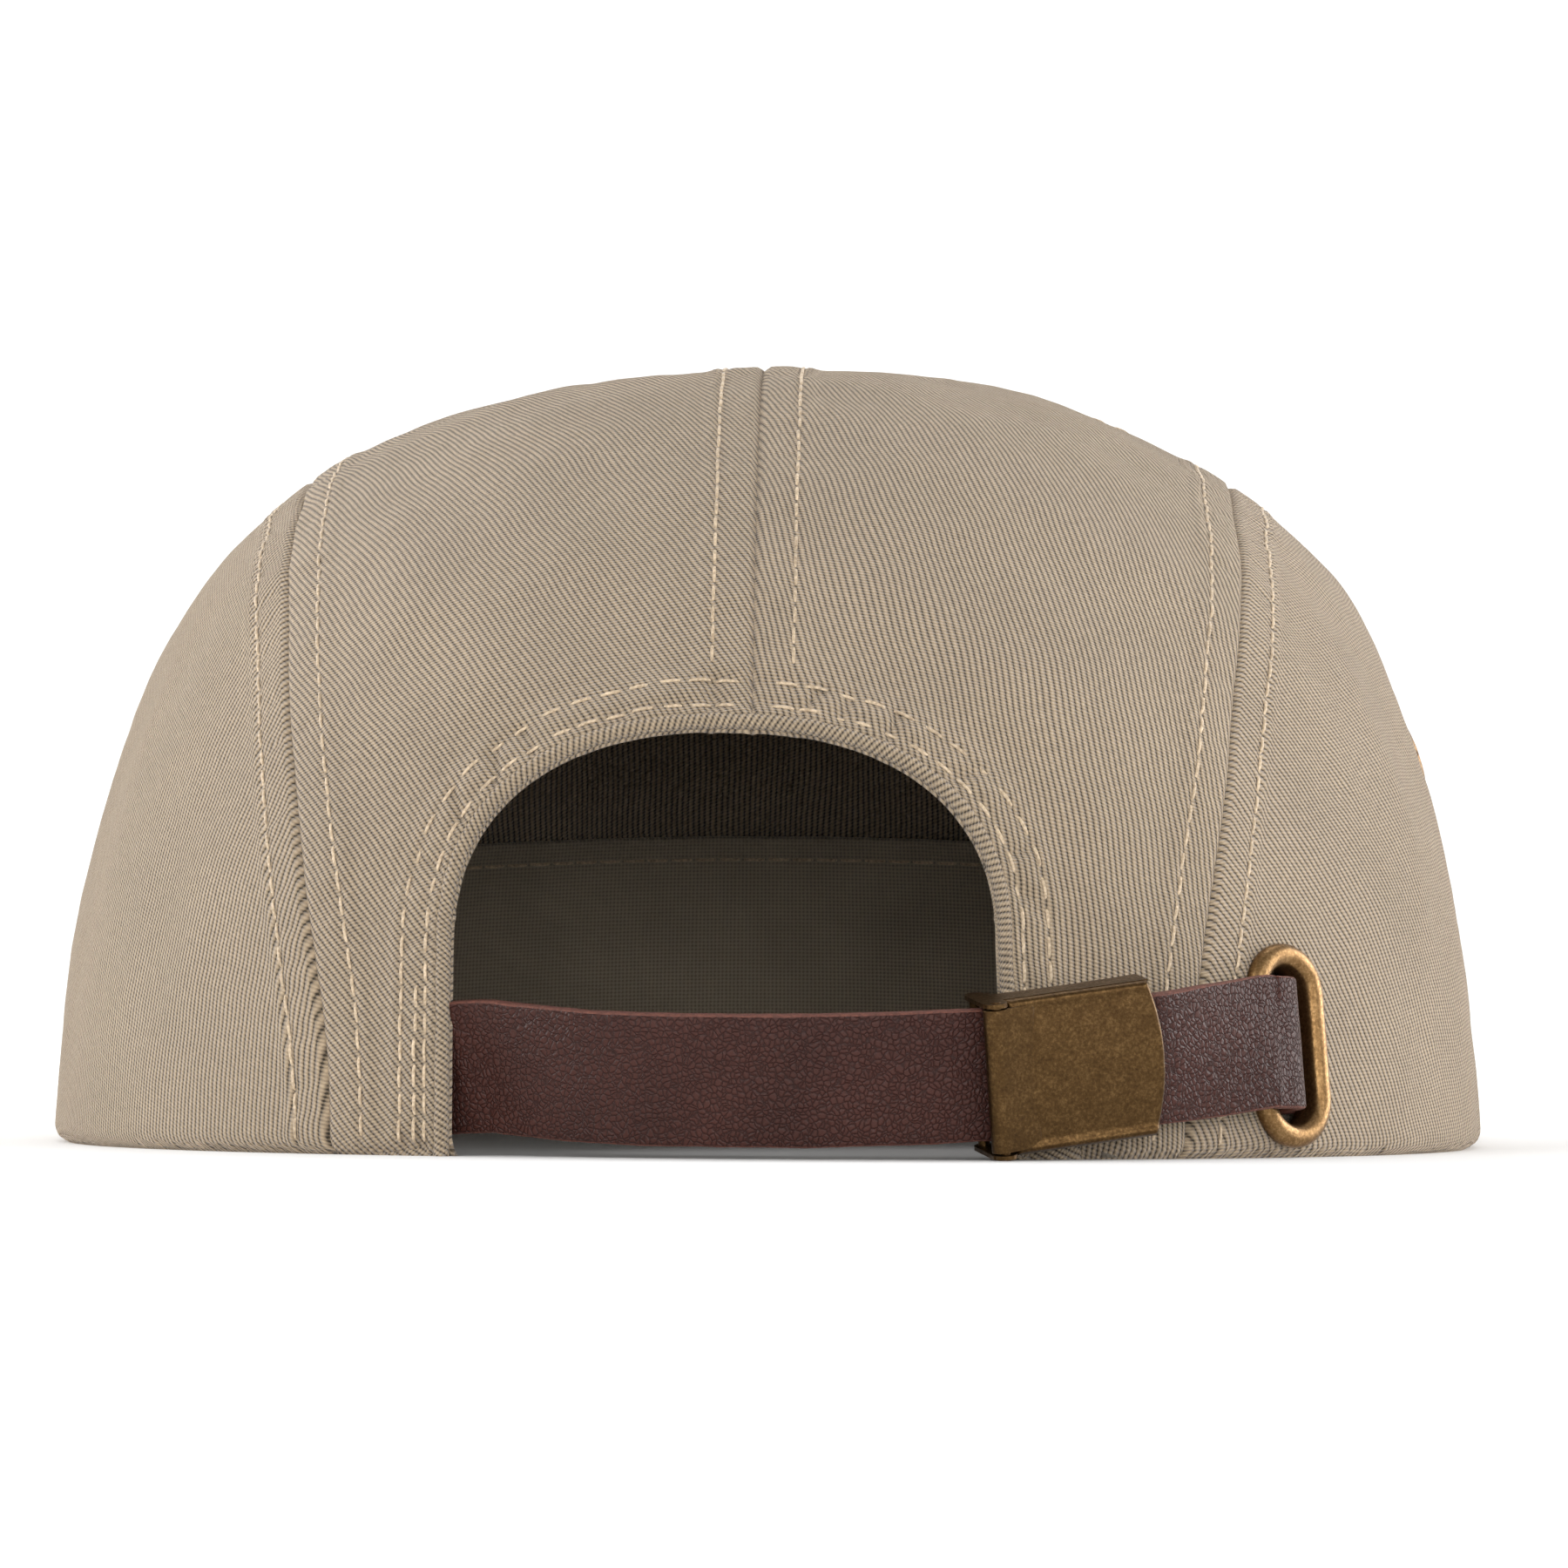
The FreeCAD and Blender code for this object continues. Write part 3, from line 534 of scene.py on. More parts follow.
def edge_loop_faces(triangles):
    """Directed edges that only one triangle has."""
    edges = np.concatenate([triangles[:, [0, 1]], triangles[:, [1, 2]], triangles[:, [2, 0]]])
    top = edges.max() + 1
    forward = edges[:, 0] * top + edges[:, 1]
    back = edges[:, 1] * top + edges[:, 0]
    return edges[~np.isin(forward, back)]


def make_crown():
    places, edges = crown_points()
    solved = delaunay_2d_cdt([Vector(p) for p in places], edges, [], 0, 1e-9)
    disc = np.array([tuple(p) for p in solved[0]])
    triangles = np.array([f for f in solved[2] if len(f) == 3])
    smooth = dome(disc)
    outs = normals(disc)
    shown = smooth + outs * relief(smooth)[:, None]
    panel = which_panel(dome(disc[triangles].mean(axis=1)))
    for number, (name, toward, grain, wale) in enumerate(PANELS):
        mine = triangles[panel == number]
        used, mine = np.unique(mine, return_inverse=True)
        mine = mine.reshape(-1, 3)
        outer, out = shown[used], outs[used]
        corner = np.cross(outer[mine[:, 1]] - outer[mine[:, 0]], outer[mine[:, 2]] - outer[mine[:, 0]])
        if (corner * out[mine[:, 0]]).sum() < 0:
            mine = mine[:, ::-1]
        inner = outer - out * CLOTH
        border = edge_loop_faces(mine)
        ends = np.unique(border)
        number_of = np.zeros(len(used), int)
        number_of[ends] = np.arange(len(ends))
        inward = np.zeros((len(used), 3))
        for k in range(3):
            np.add.at(inward, mine[:, k], outer[mine].mean(axis=1) - outer[mine[:, k]])
        inward = inward - (inward * out).sum(axis=1)[:, None] * out
        middle = outer[ends] - out[ends] * (CLOTH / 2) - unit(inward[ends]) * 0.42
        count = len(used)
        first = 2 * count
        a, b = border[:, 0], border[:, 1]
        ma, mb = first + number_of[a], first + number_of[b]
        faces = [tuple(f) for f in mine] + [tuple(f) for f in mine[:, ::-1] + count]
        faces += list(zip(b, a, ma, mb)) + list(zip(mb, ma, a + count, b + count))
        middle_of = math.degrees(math.atan2(toward[1], toward[0]))
        uv = unroll(outer, middle_of) if "side" in name else flatten(outer, toward)
        uv = np.concatenate([uv, uv, uv[ends]])
        points = np.concatenate([outer, inner, middle])
        piece = make_mesh(name, points, faces, uv=uv, replaces=[name])
        piece.data.materials.append(twill(name + "_twill", grain, wale))


def seam_threads():
    """The double rows along every seam and round the opening."""
    rows = [(name, gap) for name in ("centre", "left", "right", "front") for gap in (SEAM_ROW, -SEAM_ROW)]
    rows += [("opening", gap) for gap in (*OPENING_ROWS, STRAP_ROW)]
    sets = []
    for name, gap in rows:
        places, tangents = SEAMS[name].beside(gap, 3.15)
        keep = (places[:, 2] > rim_height(places) + 1.2) & ~in_opening(places)
        for other in SEAMS:
            if other == name:
                continue
            clear = OPENING_ROWS[1] + 1.5 if other == "opening" else 1.4
            if name == "opening":
                clear = 1.0
            distance, _ = SEAMS[other].near(places)
            keep &= distance > clear
        if name in ("centre", "left", "right"):
            keep &= places[:, 1] < front_seam_y(places[:, 2])
        if gap == STRAP_ROW:
            keep &= (places[:, 0] < OPENING_MIDDLE) & (places[:, 2] < EYELET_Z + STRAP_WIDTH / 2)
        places, tangents = places[keep], tangents[keep]
        outs = normals(to_disc(places))
        jitter = np.array([noise.noise(Vector(p) * 0.9) for p in places])
        sideways = unit(np.cross(outs, tangents)) * 0.12 * jitter[:, None]
        places = places + outs * relief(places)[:, None] + sideways
        sets.append(stitches(places, tangents, outs))
    return sets


def join(sets):
    """Several (points, faces) as one."""
    points, faces, total = [], [], 0
    for spots, polygons in sets:
        points.append(spots)
        faces += [tuple(i + total for i in f) for f in polygons]
        total += len(spots)
    return np.concatenate(points), faces


# ---------------------------------------------------------------- places

class Place:
    """A point with three square directions: along, out and up."""

    def __init__(self, origin, along, out):
        self.origin = origin
        self.along = unit(along)
        self.up = unit(np.cross(out, along))
        self.up = self.up * np.sign(self.up[2])
        self.out = unit(np.cross(self.along, self.up))
        self.out = self.out * np.sign(self.out @ out)

    def at(self, along, out, up=0.0):
        along, out, up = (np.asarray(v, float)[..., None] for v in (along, out, up))
        return self.origin + self.along * along + self.out * out + self.up * up


def place_on_wall(azimuth, z):
    turn, little = math.radians(azimuth), 1e-4
    spots = wall(np.array([turn, turn + little, turn]), np.array([z, z, z + little]))
    along, up = spots[1] - spots[0], spots[2] - spots[0]
    out = np.cross(along, up)
    return Place(spots[0], along, out * np.sign(out[:2] @ spots[0, :2]))


BACK = np.array([0.0, -STRAP_AXIS[2], STRAP_AXIS[1]])
BACK = unit(BACK - STRAP_AXIS * (BACK @ STRAP_AXIS))
ACROSS = np.cross(STRAP_AXIS, BACK)
ACROSS = ACROSS * np.sign(ACROSS[0])


def arc_point(angle, offset=0.0):
    turn = np.radians(np.asarray(angle, float))[..., None]
    reach = STRAP_RADIUS + np.asarray(offset, float)[..., None]
    return STRAP_CENTRE + (BACK * np.cos(turn) + ACROSS * np.sin(turn)) * reach


def buckle_place():
    turn, twist = math.radians(BUCKLE_ANGLE), math.radians(BUCKLE_TWIST)
    out = BACK * math.cos(turn) + ACROSS * math.sin(turn)
    along = ACROSS * math.cos(turn) - BACK * math.sin(turn)
    along = along * math.cos(twist) + STRAP_AXIS * math.sin(twist)
    return Place(arc_point(BUCKLE_ANGLE) + STRAP_AXIS * BUCKLE_LIFT, along, out)


STRAP_EYELET = place_on_wall(EYELET_AZIMUTH, EYELET_Z)
VENT_PLACES = {"left": [place_on_wall(180 - a, z) for a, z in VENTS],
               "right": [place_on_wall(a, z) for a, z in VENTS]}
EYELETS = [(STRAP_EYELET, *EYELET_HOLE)] + [(p, VENT_HOLE, VENT_HOLE) for v in VENT_PLACES.values() for p in v]
BUCKLE = buckle_place()


# ---------------------------------------------------------------- opening, tapes and sweatband

def shell_strip(rows, thick):
    """(points, faces) of a strip of cloth given as rows of points on its outer face; thick goes inwards."""
    rows = np.asarray(rows)
    outs = normals(to_disc(rows.reshape(-1, 3))).reshape(rows.shape)
    ring = np.concatenate([rows, (rows - outs * thick)[::-1]])
    return ring.reshape(-1, 3), tube_faces(*ring.shape[:2])


def strip_uv(rows, copies=2):
    rows = np.asarray(rows)
    along, over = lengths(rows[len(rows) // 2]), lengths(rows[:, rows.shape[1] // 2])
    uv = np.stack(np.broadcast_arrays(along[None, :], over[:, None]), axis=2)
    return np.concatenate([uv, uv[::-1]] if copies == 2 else [uv]).reshape(-1, 2)


def make_facing():
    """The bias strip that rolls over the opening's edge and lies flat inside it."""
    profile = [(1.5, -0.75), (1.4, -0.3), (1.1, 0.02), (0.7, 0.12), (0.3, 0.0), (-0.02, -0.3), (-0.15, -0.75),
               (-0.12, -1.2), (0.2, -1.7), (1.0, -2.1), (3.0, -2.1), (6.0, -2.1), (8.7, -2.05), (9.0, -1.85),
               (8.7, -1.6), (6.0, -1.5), (3.0, -1.45), (1.2, -1.4)]
    rows = []
    for gap, out in profile:
        line = opening_line(gap)
        line = even(line, 0.8) if not rows else line
        rows.append((line, out))
    count = 220
    grid = []
    for line, out in rows:
        places = np.linspace(0, lengths(line)[-1], count)
        line = respaced(line, count)
        lift = np.full(count, out)
        if out > LIP_FOOT:
            lift = out + 0.2 * np.array([noise.noise(Vector((p / 3, 0, 4))) for p in places])
        grid.append(line + normals(to_disc(line)) * lift[:, None])
    grid = np.array(grid)
    faces = tube_faces(*grid.shape[:2])
    piece = make_mesh("opening_facing", grid.reshape(-1, 3), faces, uv=strip_uv(grid, 1),
                      replaces=["opening_facing"])
    piece.data.materials.append(twill("facing_twill", 66, 0.7))


def make_tapes():
    """The bound seams inside: a tape over each seam, with the backs of its stitches."""
    threads = []
    for name in ("centre", "left", "right", "front"):
        rows = []
        base = even(SEAMS[name].line, 1.6)
        floor = 3.0 if name != "centre" else 0.0
        height = base[:, 2] - rim_height(base)
        keep = height > floor
        if name == "centre":
            keep &= SEAMS["opening"].near(base)[0] > FACING_WIDTH + 0.6
            keep &= ~in_opening(base)
        if name != "front":
            keep &= base[:, 1] < front_seam_y(base[:, 2]) - TAPE_HALF - 0.5
        for gap in np.linspace(-TAPE_HALF, TAPE_HALF, 9):
            spots, tangents = SEAMS[name].beside(gap, 1.6)
            lift = 0.12 * bump(abs(gap), 2.6, 1.4) + 0.08 * wobble(spots, 5, 21)
            rows.append((spots - normals(to_disc(spots)) * (CLOTH + 0.22 + lift)[:, None])[keep])
        points, faces = shell_strip(rows, 0.4)
        node = name + "_seam_tape"
        piece = make_mesh(node, points, faces, slot="seam_tape", uv=strip_uv(rows), replaces=[node])
        piece.data.materials.append(TAPE_LOOK)
        for gap in (-SEAM_ROW, SEAM_ROW):
            spots, tangents = SEAMS[name].beside(gap, 3.15)
            height = spots[:, 2] - rim_height(spots)
            keep = (height > floor + 1) & ~in_opening(spots)
            keep &= SEAMS["opening"].near(spots)[0] > FACING_WIDTH + 1
            if name != "front":
                keep &= spots[:, 1] < front_seam_y(spots[:, 2]) - TAPE_HALF
            outs = -normals(to_disc(spots))
            spots = spots + outs * (CLOTH + 0.72)
            threads.append(stitches(spots[keep], tangents[keep], outs[keep]))
    return threads


def above_rim(azimuth, height):
    """Points of the dome this far above its bottom edge."""
    points = wall(azimuth, np.full(len(azimuth), height))
    for _ in range(4):
        points = wall(azimuth, height + rim_height(points))
    return points


def make_sweatband():
    """The folded cotton band inside the rim, from one side of the opening to the other."""
    right = math.atan2(-82.0, OPENING_MIDDLE + OPENING_HALF + FACING_WIDTH + 4)
    left = math.atan2(-82.0, OPENING_MIDDLE - OPENING_HALF - FACING_WIDTH - 4) + 2 * math.pi
    azimuth = np.linspace(right, left, 330)
    profile = [(1.0, 1.7), (0.7, 3.2), (1.2, 4.6)]
    profile += [(z, 4.55) for z in np.linspace(3, BAND_HEIGHT - 0.7, 15)]
    profile += [(BAND_HEIGHT, 4.8), (BAND_HEIGHT, 5.3), (BAND_HEIGHT - 0.6, 5.6)]
    profile += [(z, 5.55) for z in np.linspace(BAND_HEIGHT - 2.5, 3, 18)]
    profile += [(0.9, 5.3), (0.2, 3.6), (0.3, 1.8)]
    rows = []
    for height, inset in profile:
        points = above_rim(azimuth, height)
        soft = 0.45 * wobble(points * [1, 1, 0.5], 9, 31) + 0.25 * wobble(points, 3.5, 35)
        groove = 0.25 * bump(height, 5.0, 0.7) + 0.25 * bump(height, BAND_HEIGHT - 3, 0.7)
        soft = soft * step(height, 2, 8) * 0.8
        rows.append(points - normals(to_disc(points)) * (inset + np.maximum(soft, -0.3) - groove)[:, None])
    grid = np.array(rows)
    faces = tube_faces(*grid.shape[:2])
    piece = make_mesh("sweatband", grid.reshape(-1, 3), faces, slot="sweatband_cotton",
                      uv=strip_uv(grid, 1), replaces=["sweatband"])
    piece.data.materials.append(cotton("sweatband_weave", (0.42, 0.35, 0.26)))
    threads = []
    for height in (5.0, BAND_HEIGHT - 3):
        points = above_rim(azimuth, height)
        line = even(points - normals(to_disc(points)) * 5.75, 3.2)[1:-1]
        threads.append(stitches(line, unit(np.gradient(line, axis=0)), -normals(to_disc(line))))
    return threads


# ---------------------------------------------------------------- visor

def visor_height(x):
    radius = (VISOR_HALF**2 + VISOR_ARCH**2) / (2 * VISOR_ARCH)
    return VISOR_ARCH - radius + np.sqrt(radius**2 - x**2)


def smooth_line(corners, count):
    """A smooth curve through the corners, as Catmull and Rom's."""
    corners = np.asarray(corners, float)
    ends = [2 * corners[0] - corners[1]], [2 * corners[-1] - corners[-2]]
    p = np.concatenate([ends[0], corners, ends[1]])
    t = np.linspace(0, 1, 24, endpoint=False)[:, None]
    line = []
    for a, b, c, d in zip(p, p[1:], p[2:], p[3:]):
        line.append(b + 0.5 * t * (c - a + t * (2 * a - 5 * b + 4 * c - d + t * (3 * (b - c) + d - a))))
    line = np.concatenate(line + [corners[-1:]])
    return respaced(line, count)


def visor_lines(columns):
    """(root, edge) of the visor, each from the right ear to the left, as x and y."""
    half = VISOR_OUTLINE[::-1] * [-1, 1]
    edge = smooth_line(np.concatenate([VISOR_OUTLINE, half[1:]]), columns)
    azimuth = np.linspace(math.radians(11), math.radians(169), columns)
    root = wall(azimuth, np.zeros(columns))
    for _ in range(4):
        root = wall(azimuth, visor_height(np.clip(root[:, 0], -90, 90)) + VISOR_THICK / 2)
    return root[:, :2] - unit(root[:, :2]) * 0.5, edge


VISOR_ROWS = (3.0, 8.5, 14.0, 19.5, 25.0, 30.5, 36.0, 41.5)


def make_visor():
    """The two covers, meeting along the edge, with rows of stitches through the board."""
    columns, steps = 240, 110
    root, edge = visor_lines(columns)
    length = np.linalg.norm(edge - root, axis=1)
    from_edge = np.concatenate([[0, 0.12, 0.35, 0.7, 1.1, 1.6], np.linspace(2.2, 46, 80)])
    t = np.concatenate([1 - from_edge[:, None] / np.maximum(length, 60)[None],
                        (1 - 46 / np.maximum(length, 60))[None] * np.linspace(1, 0, 30)[1:, None]])
    plan = root[None] + (edge - root)[None] * t[:, :, None]
    inward = length[None] * (1 - t)
    base = visor_height(np.clip(plan[..., 0], -95, 95))
    middle = VISOR_THICK / 2
    swell = middle * np.sqrt(1 - (1 - np.clip(inward / 1.7, 0, 1)) ** 2)
    groove = sum(bump(inward, row, 0.55) for row in VISOR_ROWS) * 0.28
    flat = np.concatenate([plan, 0 * plan[..., :1]], axis=2).reshape(-1, 3)
    soft = (0.18 * wobble(flat, 14, 41) + 0.08 * wobble(flat, 4, 43)).reshape(inward.shape)
    outward = ((edge - root) / np.maximum(length, 1)[:, None])[None]
    weave = plan + outward * (middle - swell)[..., None]  # the cloth's own length round the edge
    threads = []
    for node, sign, grain in (("visor_top_cover", 1, 88), ("visor_under_cover", -1, 92)):
        height = base + middle + sign * (swell - (groove + soft * (sign > 0)) * step(inward, 0.4, 2.0))
        skin = np.concatenate([plan, height[..., None]], axis=2)
        inner = base + middle + sign * (0.02 + 0.75 * swell / middle)
        back = np.concatenate([plan, inner[..., None]], axis=2)
        rows = np.concatenate([skin, back[::-1][:-1]])
        faces = tube_faces(*rows.shape[:2])
        if sign > 0:
            faces = [f[::-1] for f in faces]
        uv = np.concatenate([weave, plan[::-1][:-1]]).reshape(-1, 2)
        piece = make_mesh(node, rows.reshape(-1, 3), faces, uv=uv, replaces=[node])
        piece.data.materials.append(twill(node + "_twill", grain, 0.74))
        for row in VISOR_ROWS:
            wide = length > row + 2.5
            line = (root + (edge - root) * (1 - row / length)[:, None])[wide]
            level = visor_height(line[:, 0]) + middle + sign * (middle - 0.2)
            line = np.concatenate([line, level[:, None]], axis=1)
            line = even(line, 3.1)[1:-1]
            outs = np.tile([0, 0, float(sign)], (len(line), 1))
            threads.append(stitches(line, unit(np.gradient(line, axis=0)), outs))
    return threads


# ---------------------------------------------------------------- strap and loop

def strap_path():
    """(points, ups): the strap's middle line and the direction of its width, from the sewn end to the tail."""
    points, ups = [], []

    def add(point, up):
        points.append(point)
        ups.append(up)

    start = arc_point(-33.6)
    for x, inset in ((-46.0, 4.6), (-42.5, 4.6), (-38.5, 4.0)):
        spot = back_wall(np.array([x]), np.array([start[2]]))
        add((spot - normals(to_disc(spot)) * inset)[0], STRAP_AXIS)
    for angle in np.arange(-30, 30.1, 2.5):
        add(arc_point(angle, -1.5 * step(-angle, 18.0, 31.0)), STRAP_AXIS)
    eyelet, stand_off, bend_out, bend_in = STRAP_EYELET, 3.6, 3.0, 2.5
    tail_out = -3.2
    for along in (-8.5, -6.0, -4.2):
        add(eyelet.at(along, stand_off), eyelet.up)
    for turn in np.radians((60, 30, 4)):
        add(eyelet.at(-4 + bend_out * math.cos(turn), 0.6 + bend_out * math.sin(turn)), eyelet.up)
    for turn in np.radians((190, 220, 250)):
        add(eyelet.at(1.5 + bend_in * math.cos(turn), tail_out + bend_in + bend_in * math.sin(turn)), eyelet.up)
    azimuth = math.radians(EYELET_AZIMUTH)
    for along in (4, 10, 18, 26, 34, 44):
        spot = wall(np.array([azimuth + along / 92]), np.array([EYELET_Z]))
        add((spot - normals(to_disc(spot)) * 3.2)[0], eyelet.up)
    line = smooth_line(np.concatenate([points, np.array(ups) * 1.0], axis=1), 300)
    return line[:, :3], unit(line[:, 3:])


def make_strap():
    path, ups = strap_path()
    tangents = unit(np.gradient(path, axis=0))
    ups = unit(ups - tangents * (ups * tangents).sum(axis=1)[:, None])
    outs = np.cross(tangents, ups)
    section = rounded_bar(STRAP_WIDTH, STRAP_THICK, 0.45, steps=3, columns=14)
    points, faces, uv = sweep(path, ups, outs, section)
    grain = wobble(points, 1.5, 51) * 0.05 + wobble(points, 7, 53) * 0.1
    middle = np.repeat(path, len(section), axis=0)
    points = points + unit(points - middle) * grain[:, None]
    piece = make_mesh("strap", points, faces, slot="brown_leather", uv=uv, replaces=["strap"])
    piece.data.materials.append(leather("strap_leather"))
    piece.data.materials.append(cut_edge("strap_edge"))
    per = len(section)
    edge_ring = np.abs(section[:, 0]) > STRAP_WIDTH / 2 - 0.3
    marks = [0] * len(piece.data.polygons)
    for i in range((len(path) - 1) * per):
        c = i % per
        if edge_ring[c] and edge_ring[(c + 1) % per]:
            marks[i] = 1
    piece.data.polygons.foreach_set("material_index", marks)


def make_loop():
    """The slack loop of thin leather that ties the buckle's bar to the right edge."""
    bar = BUCKLE.at(BAR_T, BAR_N) - STRAP_CENTRE
    offset = math.hypot(bar @ BACK, bar @ ACROSS) - STRAP_RADIUS
    right = math.degrees(math.atan2(bar @ ACROSS, bar @ BACK))
    left = right - math.degrees(TRAVEL / (STRAP_RADIUS + offset))
    reach = BAR_RADIUS + 0.55 + 0.3
    eye = []
    for turn in np.radians((-60, -20, 20, 60)):
        eye.append(arc_point(right + math.degrees(reach * math.cos(turn) / 78), offset - reach * math.sin(turn)))
    ring = [arc_point(a, offset + reach) for a in np.linspace(right, left, 5)]
    for turn in np.radians((45, 90, 135)):
        ring.append(arc_point(left - math.degrees(reach * math.sin(turn) / 78), offset + reach * math.cos(turn)))
    ring += [arc_point(a, offset - reach) for a in np.linspace(left, right, 5)]
    ring += [arc_point(right + math.degrees(reach * math.cos(t) / 78), offset + reach * math.sin(t))
             for t in np.radians((-45, 0, 45))]
    start = arc_point(right - 0.6, offset - reach)
    neck = []
    for past_edge in (3.5, 7, 10.5):
        spot = back_wall(np.array([OPENING_MIDDLE + OPENING_HALF + past_edge]), np.array([start[2]]))
        neck.append((spot - normals(to_disc(spot)) * 2.75)[0])
    sets = []
    section = rounded_bar(12.0, 0.6, 0.25, steps=2, columns=8)
    for line, closed in ((np.array(ring), True), (np.array([start] + neck), False)):
        line = smooth_line(np.concatenate([line, line[:1]]) if closed else line, 60)
        tangents = unit(np.gradient(line, axis=0))
        ups = np.tile(STRAP_AXIS, (len(line), 1))
        ups = unit(ups - tangents * (ups * tangents).sum(axis=1)[:, None])
        points, faces, _ = sweep(line, ups, np.cross(tangents, ups), section)
        sets.append((points, faces))
    points, faces = join(sets)
    piece = make_mesh("keeper_loop", points, faces, slot="brown_leather", replaces=["keeper_loop"])
    piece.data.materials.append(leather("loop_leather"))


# ---------------------------------------------------------------- brass

def ring_of_brass(place, height, width, flange, rise, steps=10):
    """(points, faces) of an eyelet: a half-round rim about a round-ended hole, and its barrel."""
    half, straight = width / 2, (height - width) / 2
    ways = []
    for centre, start in ((straight, 0), (-straight, 180)):
        for turn in np.radians(np.linspace(start, start + 180, 24 if straight < 0.1 else 20)):
            ways.append((math.cos(turn), math.sin(turn), centre))
    if straight > 0.1:
        filled = []
        for (c0, s0, m0), (c1, s1, m1) in zip(ways, ways[1:] + ways[:1]):
            filled.append((c0, s0, m0))
            if m0 != m1:
                filled += [(c0, s0, m0 + (m1 - m0) * t) for t in np.linspace(0, 1, 14)[1:-1]]
        ways = filled
    ways = np.array(ways)
    profile = [(0.0, -2.4), (0.0, -1.0)]
    for t in np.radians(np.linspace(180, 0, steps + 1)):
        lift = rise * math.sin(t) ** 0.85 + 0.05 if 0 < t < math.pi else 0.0
        profile.append((flange / 2 * (1 + math.cos(t)), lift))
    profile += [(flange - 0.15, -0.5), (0.5, -0.5), (0.5, -2.4)]
    rows = [place.at((half + r) * ways[:, 0], n, (half + r) * ways[:, 1] + ways[:, 2]) for r, n in profile]
    rows = np.array(rows)
    n, m = rows.shape[:2]
    return rows.reshape(-1, 3), grid_faces(n, m, close_rows=True, close_columns=True)


def make_eyelets():
    dimple = 0.035
    sets = {"strap_eyelet": [ring_of_brass(STRAP_EYELET, *EYELET_HOLE, EYELET_FLANGE, EYELET_RISE)]}
    for side, places in VENT_PLACES.items():
        rings = []
        for place in places:
            lift = float(relief(place.origin[None])[0])
            points, faces = ring_of_brass(place, VENT_HOLE, VENT_HOLE, VENT_FLANGE, VENT_RISE)
            rings.append((points + place.out * lift, faces))
        sets[side + "_vent_eyelets"] = rings
    for name, rings in sets.items():
        points, faces = join(rings)
        points = points + dimple * wobble(points, 1.6, 61)[:, None]
        piece = make_mesh(name, points, faces, slot="antique_brass", replaces=[name])
        piece.data.materials.append(EYELET_BRASS)


def make_lever():
    """The buckle's cover: a thin plate with rounded edges and a rolled lip, turning on its knuckle."""
    rows, columns = 60, 60
    edge = np.concatenate([[0, 0.06, 0.18, 0.36, 0.6], np.linspace(0.95, 2 * BUCKLE_HALF_WIDTH - 0.95, rows),
                           2 * BUCKLE_HALF_WIDTH - np.array([0.6, 0.36, 0.18, 0.06, 0])])
    up = edge - BUCKLE_HALF_WIDTH
    low = -BUCKLE_HALF_LENGTH + 1.8
    share = np.concatenate([[0, 0.004, 0.01, 0.02, 0.034], np.linspace(0.055, 0.945, columns),
                            [0.966, 0.98, 0.99, 0.996, 1]])
    high = BUCKLE_HALF_LENGTH + COVER_BULGE * (1 - (up / BUCKLE_HALF_WIDTH) ** 2)
    along = low + share[None, :] * (high - low)[:, None]
    ups = np.repeat(up[:, None], len(share), axis=1)
    rim = np.minimum(np.minimum(along - low, high[:, None] - along),
                     np.minimum(ups + BUCKLE_HALF_WIDTH, BUCKLE_HALF_WIDTH - ups))
    corner = np.clip(rim / 0.6, 0, 1)
    round_ = np.sqrt(np.clip(1 - (1 - corner) ** 2, 0, 1))
    lip = 0.42 * bump(ups, -BUCKLE_HALF_WIDTH + 0.75, 0.5) + 0.1 * bump(ups, BUCKLE_HALF_WIDTH - 0.5, 0.5)
    sides = 0.12 * (bump(along - low, 0.5, 0.35) + bump(high[:, None] - along, 0.5, 0.4))
    crown = 0.25 * (1 - (ups / BUCKLE_HALF_WIDTH) ** 2)
    top = COVER_UNDER + 0.12 + (COVER_THICK - 0.12) * round_ + (lip + sides + crown) * round_
    flat = BUCKLE.at(along, COVER_UNDER + COVER_THICK, ups).reshape(-1, 3)
    dents = (0.05 * wobble(flat, 1.3, 71) + 0.03 * wobble(flat, 0.6, 73)).reshape(top.shape)
    top = top + dents * round_
    under = COVER_UNDER + 0.12 - 0.12 * round_
    sets = []
    n, m = along.shape
    face = grid_faces(n, m)
    shell = np.concatenate([BUCKLE.at(along, level, ups).reshape(-1, 3) for level in (top, under)])
    sets.append((shell, face + [tuple(i + n * m for i in f[::-1]) for f in face]))
    knuckle = BUCKLE_HALF_WIDTH - 0.8
    roll = [(PIN_T + KNUCKLE * math.cos(a), PIN_N + KNUCKLE * math.sin(a)) for a in np.radians(range(285, 80, -12))]
    roll += [(-8.6, 3.42), (-7.4, 3.1), (-6.2, 2.78), (-5.0, 2.52), (-4.2, 2.3), (-4.4, 1.95), (-7.0, 1.75)]
    path = np.array([BUCKLE.at(0, 0, h) for h in (-knuckle, -knuckle + 0.05, 0, knuckle - 0.05, knuckle)])
    across, out = np.tile(BUCKLE.along, (5, 1)), np.tile(BUCKLE.out, (5, 1))
    sets.append(sweep(path, across, out, roll[::-1])[:2])
    path = np.array([BUCKLE.at(-6.0, 1.4, h) for h in (-7.5, -7.3, 0, 7.3, 7.5)])
    sets.append(sweep(path, across, out, rounded_bar(1.2, 0.7, 0.2, steps=3, columns=3))[:2])
    points, faces = join(sets)
    piece = make_mesh("buckle_lever", points, faces, body="cover", slot="antique_brass",
                      replaces=["buckle_lever"])
    piece.data.materials.append(BRASS)


# ---------------------------------------------------------------- materials

